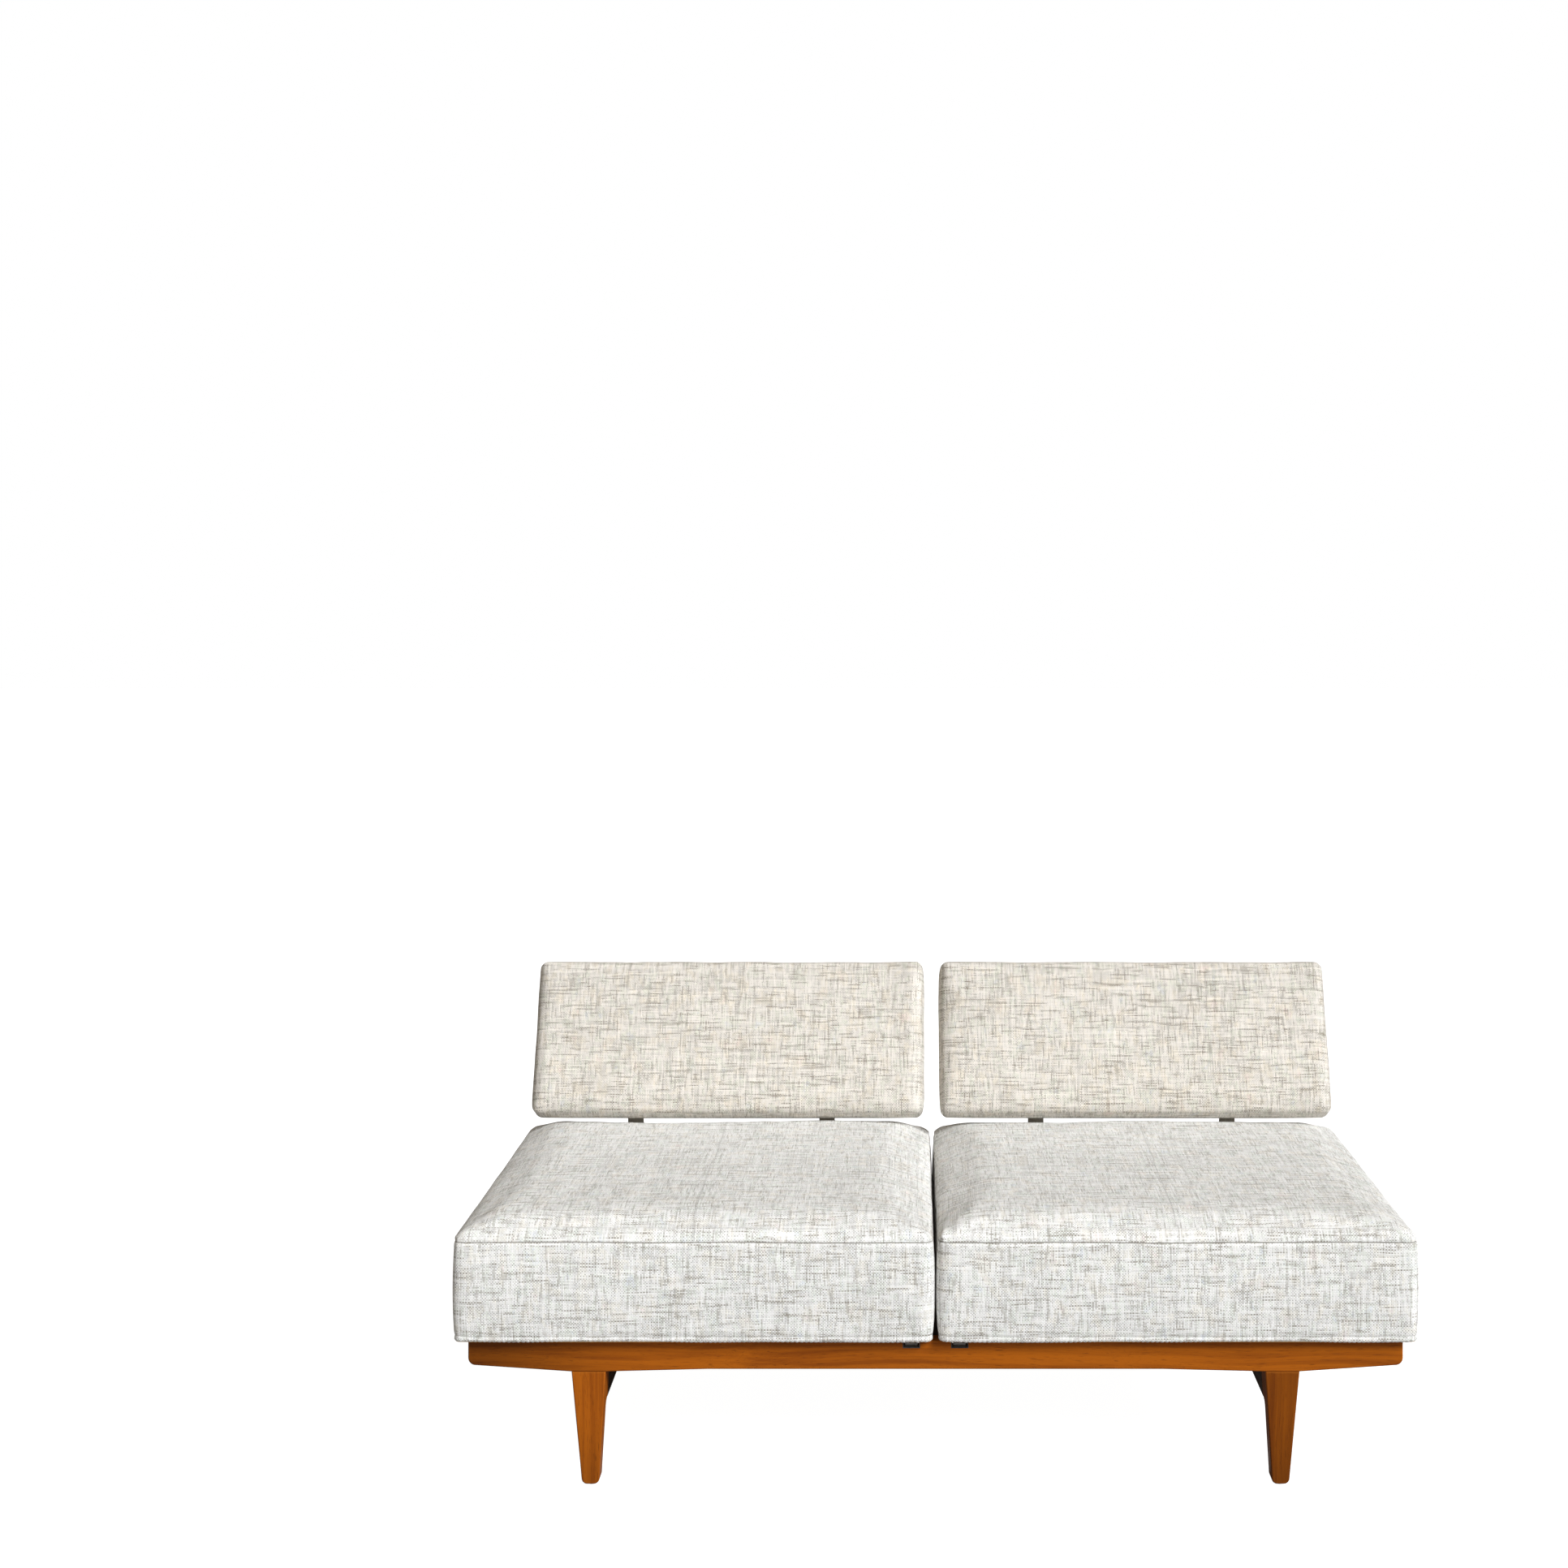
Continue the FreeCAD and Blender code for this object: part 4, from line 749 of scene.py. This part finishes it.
def build_brush():
    """Drawn or rolled metal: fine scratches along the first axis, faint blotches and specks of dirt."""
    g, given, put = new_group(
        "Drawn metal", [("Vector", "Vector", None), ("Bright", "Color", (0.6, 0.6, 0.6, 1)),
                        ("Dull", "Color", (0.35, 0.35, 0.35, 1)), ("Scratch", "Float", 1.0)],
        [("Color", "Color"), ("Height", "Float"), ("Rough", "Float")])
    at = given["Vector"]
    lines = cloud(g, scaled(g, at, (14.0, 1900.0, 1900.0)), 1.0, 2.0, 0.6)
    blotch = cloud(g, at, 75.0, 4.0, 0.6)
    speck = ease(g, cloud(g, at, 900.0, 1.0), 0.68, 0.76)
    worn = ease(g, blotch, 0.36, 0.68)
    share = calc(g, "MULTIPLY_ADD", calc(g, "SUBTRACT", lines, 0.5), given["Scratch"], worn, clamp=True)
    colour = mix(g, share, given["Bright"], given["Dull"])
    colour = mix(g, times(g, speck, 0.6), colour, (0.09, 0.08, 0.07))
    g.links.new(colour, put["Color"])
    g.links.new(times(g, lines, given["Scratch"]), put["Height"])
    g.links.new(calc(g, "MULTIPLY_ADD", blotch, 0.30, 0.18), put["Rough"])
    return g


GROUPS = {"weave": build_weave(), "grain": build_grain(), "edges": build_edges(), "brush": build_brush()}


ONTO_X = {"X": (0, 0, 0), "Y": (0, 0, -math.pi / 2), "Z": (0, math.pi / 2, 0)}    # turns a grain onto X


def start(name, **plain):
    """A material with an empty Principled shader: constants go straight on its sockets."""
    material = bpy.data.materials.new(name)
    material.use_nodes = True
    tree = material.node_tree
    tree.nodes.clear()
    shader = node(tree, "BsdfPrincipled", plain)
    out = node(tree, "OutputMaterial")
    tree.links.new(shader.outputs[0], out.inputs[0])
    return material, tree, shader


def use(tree, group, inputs):
    made = node(tree, "Group", node_tree=GROUPS[group])
    for key, value in inputs.items():
        if isinstance(value, bpy.types.NodeSocket):
            tree.links.new(value, made.inputs[key])
        else:
            made.inputs[key].default_value = (*value, 1.0) if isinstance(value, tuple) and len(value) == 3 \
                and made.inputs[key].type == "RGBA" else value
    return made.outputs


def bump(tree, shader, height, distance, strength=1.0):
    raised = node(tree, "Bump", {"Height": height, "Distance": distance, "Strength": strength})
    tree.links.new(raised.outputs[0], shader.inputs["Normal"])


def woven_cloth(name, ground, hole_shade, slub, tints, holes):
    """The seats' and backrests' cloth, on the cloth's own map, with a line of painted shade along the groove at each
    seam.
    """
    material, tree, shader = start(name, **{"Sheen Weight": 0.12, "Sheen Roughness": 0.6, "Specular IOR Level": 0.18})
    at = node(tree, "UVMap", uv_map="cloth").outputs[0]
    out = use(tree, "weave", {"Vector": at, "Ground": ground, "Hole": hole_shade, "Slub": slub, "Tint strength": tints,
                              "Hole strength": holes})
    gap = node(tree, "Attribute", attribute_name="seam_gap").outputs["Fac"]
    off = calc(tree, "ABSOLUTE", gap)
    ragged = calc(tree, "MULTIPLY_ADD", cloud(tree, at, 130.0, 2.0), 0.0016, 0.0007)
    # Painted shade: a dark line along each seam, where the cloth dips into the seam's groove.
    line = calc(tree, "SUBTRACT", 1.0, ease(tree, off, 0.0003, ragged))
    colour = mix(tree, times(tree, line, 0.68), out["Color"], (0.16, 0.14, 0.115))
    tree.links.new(colour, shader.inputs["Base Color"])
    tree.links.new(out["Rough"], shader.inputs["Roughness"])
    height = calc(tree, "SUBTRACT", out["Height"], times(tree, line, 2.0))
    bump(tree, shader, height, 0.00042, 0.8)
    return material


def wood(name, piece, along, light, deep, pore, band=1.0, pores=1.0, rub=None, gloss=0.0, seed=0.0,
         tone=1.0, painted_shade_end=None):
    """A wooden piece with its grain along the given axis, worn lighter at its edges where rub is set. Tone
    makes one board darker or lighter than another, and painted shade can be laid on it, fading smoothly from one
    place on the piece to another along an axis: axis number, shaded place, unshaded place and the share left at the
    shaded end."""
    light, deep = (tuple(v * tone for v in c) for c in (light, deep))
    material, tree, shader = start(name, **{"Coat Weight": gloss, "Coat Roughness": 0.30, "Specular IOR Level": 0.11})
    at = node(tree, "TexCoord").outputs["Object"]
    shift = (seed * 1.7, seed * 0.31, seed * 0.23)
    moved = node(tree, "Mapping", {"Vector": at, "Location": shift, "Rotation": ONTO_X[along]})
    out = use(tree, "grain", {"Vector": moved.outputs[0], "Light": light, "Deep": deep, "Pore": pore, "Band": band,
                              "Pores": pores})
    colour, rough = out["Color"], out["Rough"]
    if rub:
        low, high = span(piece)
        edge = use(tree, "edges", {"Vector": at, "Centre": tuple((low + high) / 2),
                                   "Half size": tuple((high - low) / 2), "Reach": 0.0034})["Mask"]
        colour = mix(tree, times(tree, edge, 0.45), colour, rub)
        rough = calc(tree, "MULTIPLY_ADD", edge, 0.12, rough)
    # Painted shade: the piece darkens smoothly towards one place along an axis.
    if painted_shade_end:
        axis, shaded_at, unshaded_at, left_over = painted_shade_end
        place_on = node(tree, "SeparateXYZ", {0: at}).outputs[axis]
        share = calc(tree, "MULTIPLY_ADD", ease(tree, place_on, shaded_at, unshaded_at), 1.0 - left_over, left_over)
        colour = shaded(tree, colour, share)
    tree.links.new(colour, shader.inputs["Base Color"])
    tree.links.new(rough, shader.inputs["Roughness"])
    bump(tree, shader, out["Height"], 0.00010, 0.6)
    return material


def metal(name, along, bright, dull, scratch=1.0, depth=0.00003, metallic=1.0):
    material, tree, shader = start(name, **{"Metallic": metallic})
    at = node(tree, "TexCoord").outputs["Object"]
    moved = node(tree, "Mapping", {"Vector": at, "Rotation": ONTO_X[along]}).outputs[0]
    out = use(tree, "brush", {"Vector": moved, "Bright": bright, "Dull": dull, "Scratch": scratch})
    tree.links.new(out["Color"], shader.inputs["Base Color"])
    tree.links.new(out["Rough"], shader.inputs["Roughness"])
    bump(tree, shader, out["Height"], depth, 0.5)
    return material


def fibre_mat(name, one, two, size, depth):
    """Matted fibres: two colours mixed by tangled noise."""
    material, tree, shader = start(name, **{"Specular IOR Level": 0.15, "Sheen Weight": 0.2})
    at = node(tree, "TexCoord").outputs["Object"]
    tangle = cloud(tree, at, size, 5.0, 0.7, 1.8)
    soft = cloud(tree, at, size / 9, 3.0, 0.6)
    colour = mix(tree, ease(tree, tangle, 0.34, 0.66), one, two)
    colour = mix(tree, times(tree, ease(tree, soft, 0.45, 0.7), 0.3), colour, two)
    tree.links.new(colour, shader.inputs["Base Color"])
    tree.links.new(calc(tree, "MULTIPLY_ADD", tangle, 0.12, 0.85, clamp=True), shader.inputs["Roughness"])
    bump(tree, shader, calc(tree, "ADD", tangle, soft), depth, 0.8)
    return material


def thin_cloth(name):
    """Black spun cloth under the seats: a pressed dot pattern over fine fibres."""
    material, tree, shader = start(name, **{"Specular IOR Level": 0.2})
    at = node(tree, "TexCoord").outputs["Object"]
    split = node(tree, "SeparateXYZ", {0: at}).outputs
    dots = times(tree, calc(tree, "SINE", times(tree, split[0], 2600.0)),
                calc(tree, "SINE", times(tree, split[1], 2600.0)))
    fibres = cloud(tree, at, 700.0, 3.0, 0.7, 1.0)
    dusty = ease(tree, cloud(tree, at, 9.0, 3.0, 0.6), 0.42, 0.72)
    colour = mix(tree, ease(tree, fibres, 0.3, 0.7), (0.016, 0.016, 0.017), (0.045, 0.044, 0.043))
    colour = mix(tree, times(tree, ease(tree, dots, 0.2, 0.8), 0.5), colour, (0.008, 0.008, 0.009))
    colour = mix(tree, times(tree, dusty, 0.16), colour, (0.22, 0.20, 0.18))
    tree.links.new(colour, shader.inputs["Base Color"])
    tree.links.new(calc(tree, "MULTIPLY_ADD", fibres, 0.2, 0.72), shader.inputs["Roughness"])
    bump(tree, shader, calc(tree, "SUBTRACT", fibres, times(tree, dots, 0.5)), 0.00012, 0.7)
    return material


def moulded(name, one, two):
    """Moulded plastic rubbed dull underneath."""
    material, tree, shader = start(name, **{"Specular IOR Level": 0.4})
    at = node(tree, "TexCoord").outputs["Object"]
    grime = cloud(tree, at, 190.0, 4.0, 0.6)
    fine = cloud(tree, at, 2400.0, 2.0)
    tree.links.new(mix(tree, ease(tree, grime, 0.35, 0.7), one, two), shader.inputs["Base Color"])
    tree.links.new(calc(tree, "MULTIPLY_ADD", grime, 0.4, 0.35), shader.inputs["Roughness"])
    bump(tree, shader, fine, 0.00004, 0.6)
    return material


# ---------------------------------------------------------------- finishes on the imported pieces

def finish_with(name, material):
    """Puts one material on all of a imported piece's faces."""
    piece = nodes[name]
    if not piece.material_slots:
        piece.data.materials.append(None)
    for place_ in piece.material_slots:
        place_.material = material


CHERRY = dict(light=(0.420, 0.110, 0.0055), deep=(0.250, 0.058, 0.0030), pore=(0.09, 0.020, 0.002),
              rub=(0.47, 0.145, 0.016), gloss=0.02, band=0.85)
DARK = dict(light=(0.060, 0.024, 0.009), deep=(0.028, 0.011, 0.005), pore=(0.006, 0.003, 0.002),
            rub=(0.06, 0.03, 0.018), band=0.8)
PLAIN = dict(light=(0.62, 0.43, 0.25), deep=(0.45, 0.28, 0.14), pore=(0.26, 0.15, 0.07),
             rub=(0.66, 0.49, 0.31), pores=0.6)

WOODEN = [("front_rail", "X", CHERRY), ("rear_rail", "X", CHERRY), ("centre_stretcher", "Y", DARK)]
WOODEN += [(f"{end}_{side}_leg", "Z", CHERRY) for end in ("front", "rear") for side in ("left", "right")]
WOODEN += [(f"{side}_cross_rail", "Y", DARK) for side in ("left", "right")]
for side in ("left", "right"):
    WOODEN += [(f"{side}_{part}_base_rail", "X" if part in ("front", "rear") else "Y", PLAIN)
               for part in ("front", "rear", "inner", "outer")]
    WOODEN += [(f"{side}_{part}", "X", PLAIN) for part in ("seat_slats", "seat_runners", "back_panel")]
WOODEN += [("frame_dowels", "Y", PLAIN)]
# Painted shade: the front rail darkens towards its left end and the front legs towards their feet.
BOARD = {"front_rail": dict(painted_shade_end=(0, -0.76, -0.46, 0.42)), "rear_rail": dict(tone=0.92),
         "front_left_leg": dict(tone=1.10, painted_shade_end=(2, 0.0, 0.14, 0.70)),
         "front_right_leg": dict(tone=0.64, painted_shade_end=(2, 0.0, 0.14, 0.74)), "rear_right_leg": dict(tone=0.9)}
for number, (name, along, finish) in enumerate(WOODEN):
    finish_with(name, wood(f"{name}_wood", name, along, seed=1.0 + number, **finish, **BOARD.get(name, {})))

plated_up = metal("plated_steel_upright", "Z", (0.66, 0.65, 0.62), (0.50, 0.49, 0.47), metallic=0.45)
plated_flat = metal("plated_steel_flat", "X", (0.86, 0.86, 0.85), (0.68, 0.68, 0.68), metallic=0.30)
screw_metal = metal("screw_steel_zinc", "X", (0.66, 0.64, 0.58), (0.42, 0.40, 0.36), 0.5)
spring_metal = metal("spring_steel_drawn", "Z", (0.40, 0.40, 0.42), (0.20, 0.20, 0.21), 0.6)
felt = fibre_mat("felt_grey", (0.20, 0.20, 0.21), (0.42, 0.41, 0.39), 420.0, 0.0006)
wadding = fibre_mat("wadding_cream", (0.62, 0.59, 0.50), (0.78, 0.76, 0.70), 260.0, 0.0012)
under_cloth = thin_cloth("dust_cloth_black")
glide_plastic = moulded("glide_nylon", (0.055, 0.045, 0.038), (0.12, 0.10, 0.085))
liner_steel = metal("liner_steel_dull", "X", (0.10, 0.095, 0.09), (0.035, 0.033, 0.03), metallic=0.6)
# The second colour of each cloth is the painted shade seen through the weave's holes.
seat_cloth = woven_cloth("seat_weave", (0.955, 0.953, 0.950), (0.17, 0.155, 0.135), (0.34, 0.31, 0.265), 0.40, 1.0)
back_cloth = woven_cloth("back_weave", (0.810, 0.767, 0.716), (0.15, 0.13, 0.10), (0.27, 0.23, 0.18), 0.50, 1.0)

finish_with("notch_liners", liner_steel)
finish_with("leg_glides", glide_plastic)
finish_with("socket_screws", screw_metal)
FINISH = {"seat_hooks": plated_flat, "hook_screws": screw_metal, "back_arm_screws": screw_metal,
          "seat_springs": spring_metal, "spring_border_wires": spring_metal,
          "inner_back_arm": plated_up, "outer_back_arm": plated_up,
          "inner_back_socket": plated_up, "outer_back_socket": plated_up,
          "seat_felt": felt, "seat_border_pad": wadding, "seat_topper": wadding, "back_padding": wadding,
          "seat_cover": seat_cloth, "back_cover": back_cloth, "seat_dust_cover": under_cloth}
for side in ("left", "right"):
    for part, material in FINISH.items():
        finish_with(f"{side}_{part}", material)


# ---------------------------------------------------------------- soft pieces in place

def dress(piece, material):
    piece.data.materials.clear()
    piece.data.materials.append(material)


for side, sign in SIDES:
    seat = join([make_seat(f"{side}_seat_skin", sign), hem(f"{side}_seat_hem", sign)], f"{side}_seat_cushion")
    dress(seat, seat_cloth)
    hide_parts(f"{side}_seat_cover", f"{side}_seat_topper", f"{side}_seat_felt", f"{side}_seat_border_pad")
    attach(seat, f"{side}_seat")

    back = make_back(f"{side}_back_cushion", sign)
    dress(back, back_cloth)
    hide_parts(f"{side}_back_cover", f"{side}_back_padding")
    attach(back, f"{side}_backrest")

    cloth, cut, low, high = dust_sheet(side)
    dress(cloth, under_cloth)
    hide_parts(f"{side}_seat_dust_cover")
    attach(cloth, f"{side}_seat")
    pins = staples(f"{side}_dust_cloth_staples", low, high)
    dress(pins, screw_metal)
    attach(pins, f"{side}_seat")


# ---------------------------------------------------------------- floor, light and camera

def sun(name, towards, strength, softness, colour=(1, 1, 1)):
    """Even light from the direction given, as from a large lamp far off."""
    data = bpy.data.lights.new(name, "SUN")
    data.energy, data.angle, data.color = strength, math.radians(softness), colour
    lamp = bpy.data.objects.new(name, data)
    lamp.rotation_euler = Vector(towards).to_track_quat("Z", "Y").to_euler()
    bpy.context.scene.collection.objects.link(lamp)
    return lamp


floor = make_mesh("floor", [(-30, -30, 0), (30, -30, 0), (30, 30, 0), (-30, 30, 0)], [(0, 1, 2, 3)])
floor_material, floor_tree, floor_shader = start("floor_white", **{
    "Base Color": (0.42, 0.42, 0.42, 1), "Roughness": 0.9, "Specular IOR Level": 0.0,
    "Emission Color": (1, 1, 1, 1)})
floor_glow = calc(floor_tree, "MULTIPLY", node(floor_tree, "LightPath").outputs["Is Camera Ray"], 0.98)
floor_tree.links.new(floor_glow, floor_shader.inputs["Emission Strength"])
floor.data.materials.append(floor_material)

world = bpy.data.worlds.new("studio")
bpy.context.scene.world = world
world.use_nodes = True
wt = world.node_tree
wt.nodes.clear()
seen = node(wt, "Background", {"Color": (1, 1, 1, 1), "Strength": 1.0})
lit = node(wt, "Background", {"Color": (1.0, 0.85, 0.66, 1), "Strength": 0.18})
pick = node(wt, "LightPath")
both = wt.nodes.new("ShaderNodeMixShader")
wt.links.new(pick.outputs["Is Camera Ray"], both.inputs[0])
wt.links.new(lit.outputs[0], both.inputs[1])
wt.links.new(seen.outputs[0], both.inputs[2])
wt.links.new(both.outputs[0], node(wt, "OutputWorld").inputs[0])

sun("key", (0.63, -0.60, 0.60), 3.52, 24, (0.965, 0.985, 1.0))
sun("front", (-0.02, -0.80, 0.45), 0.30, 50)

camera_data = bpy.data.cameras.new("camera")
camera_data.lens, camera_data.sensor_width, camera_data.sensor_fit = 52.21, 36.0, "HORIZONTAL"
camera_data.shift_x, camera_data.shift_y = -0.0807, -0.1216
camera_data.clip_end = 200
camera = bpy.data.objects.new("camera", camera_data)
camera.location = (-0.0403, -4.0506, 1.4377)
camera.rotation_euler = (math.pi / 2, 0, 0)
bpy.context.scene.collection.objects.link(camera)
bpy.context.scene.camera = camera
bpy.context.scene.view_settings.view_transform = "Standard"
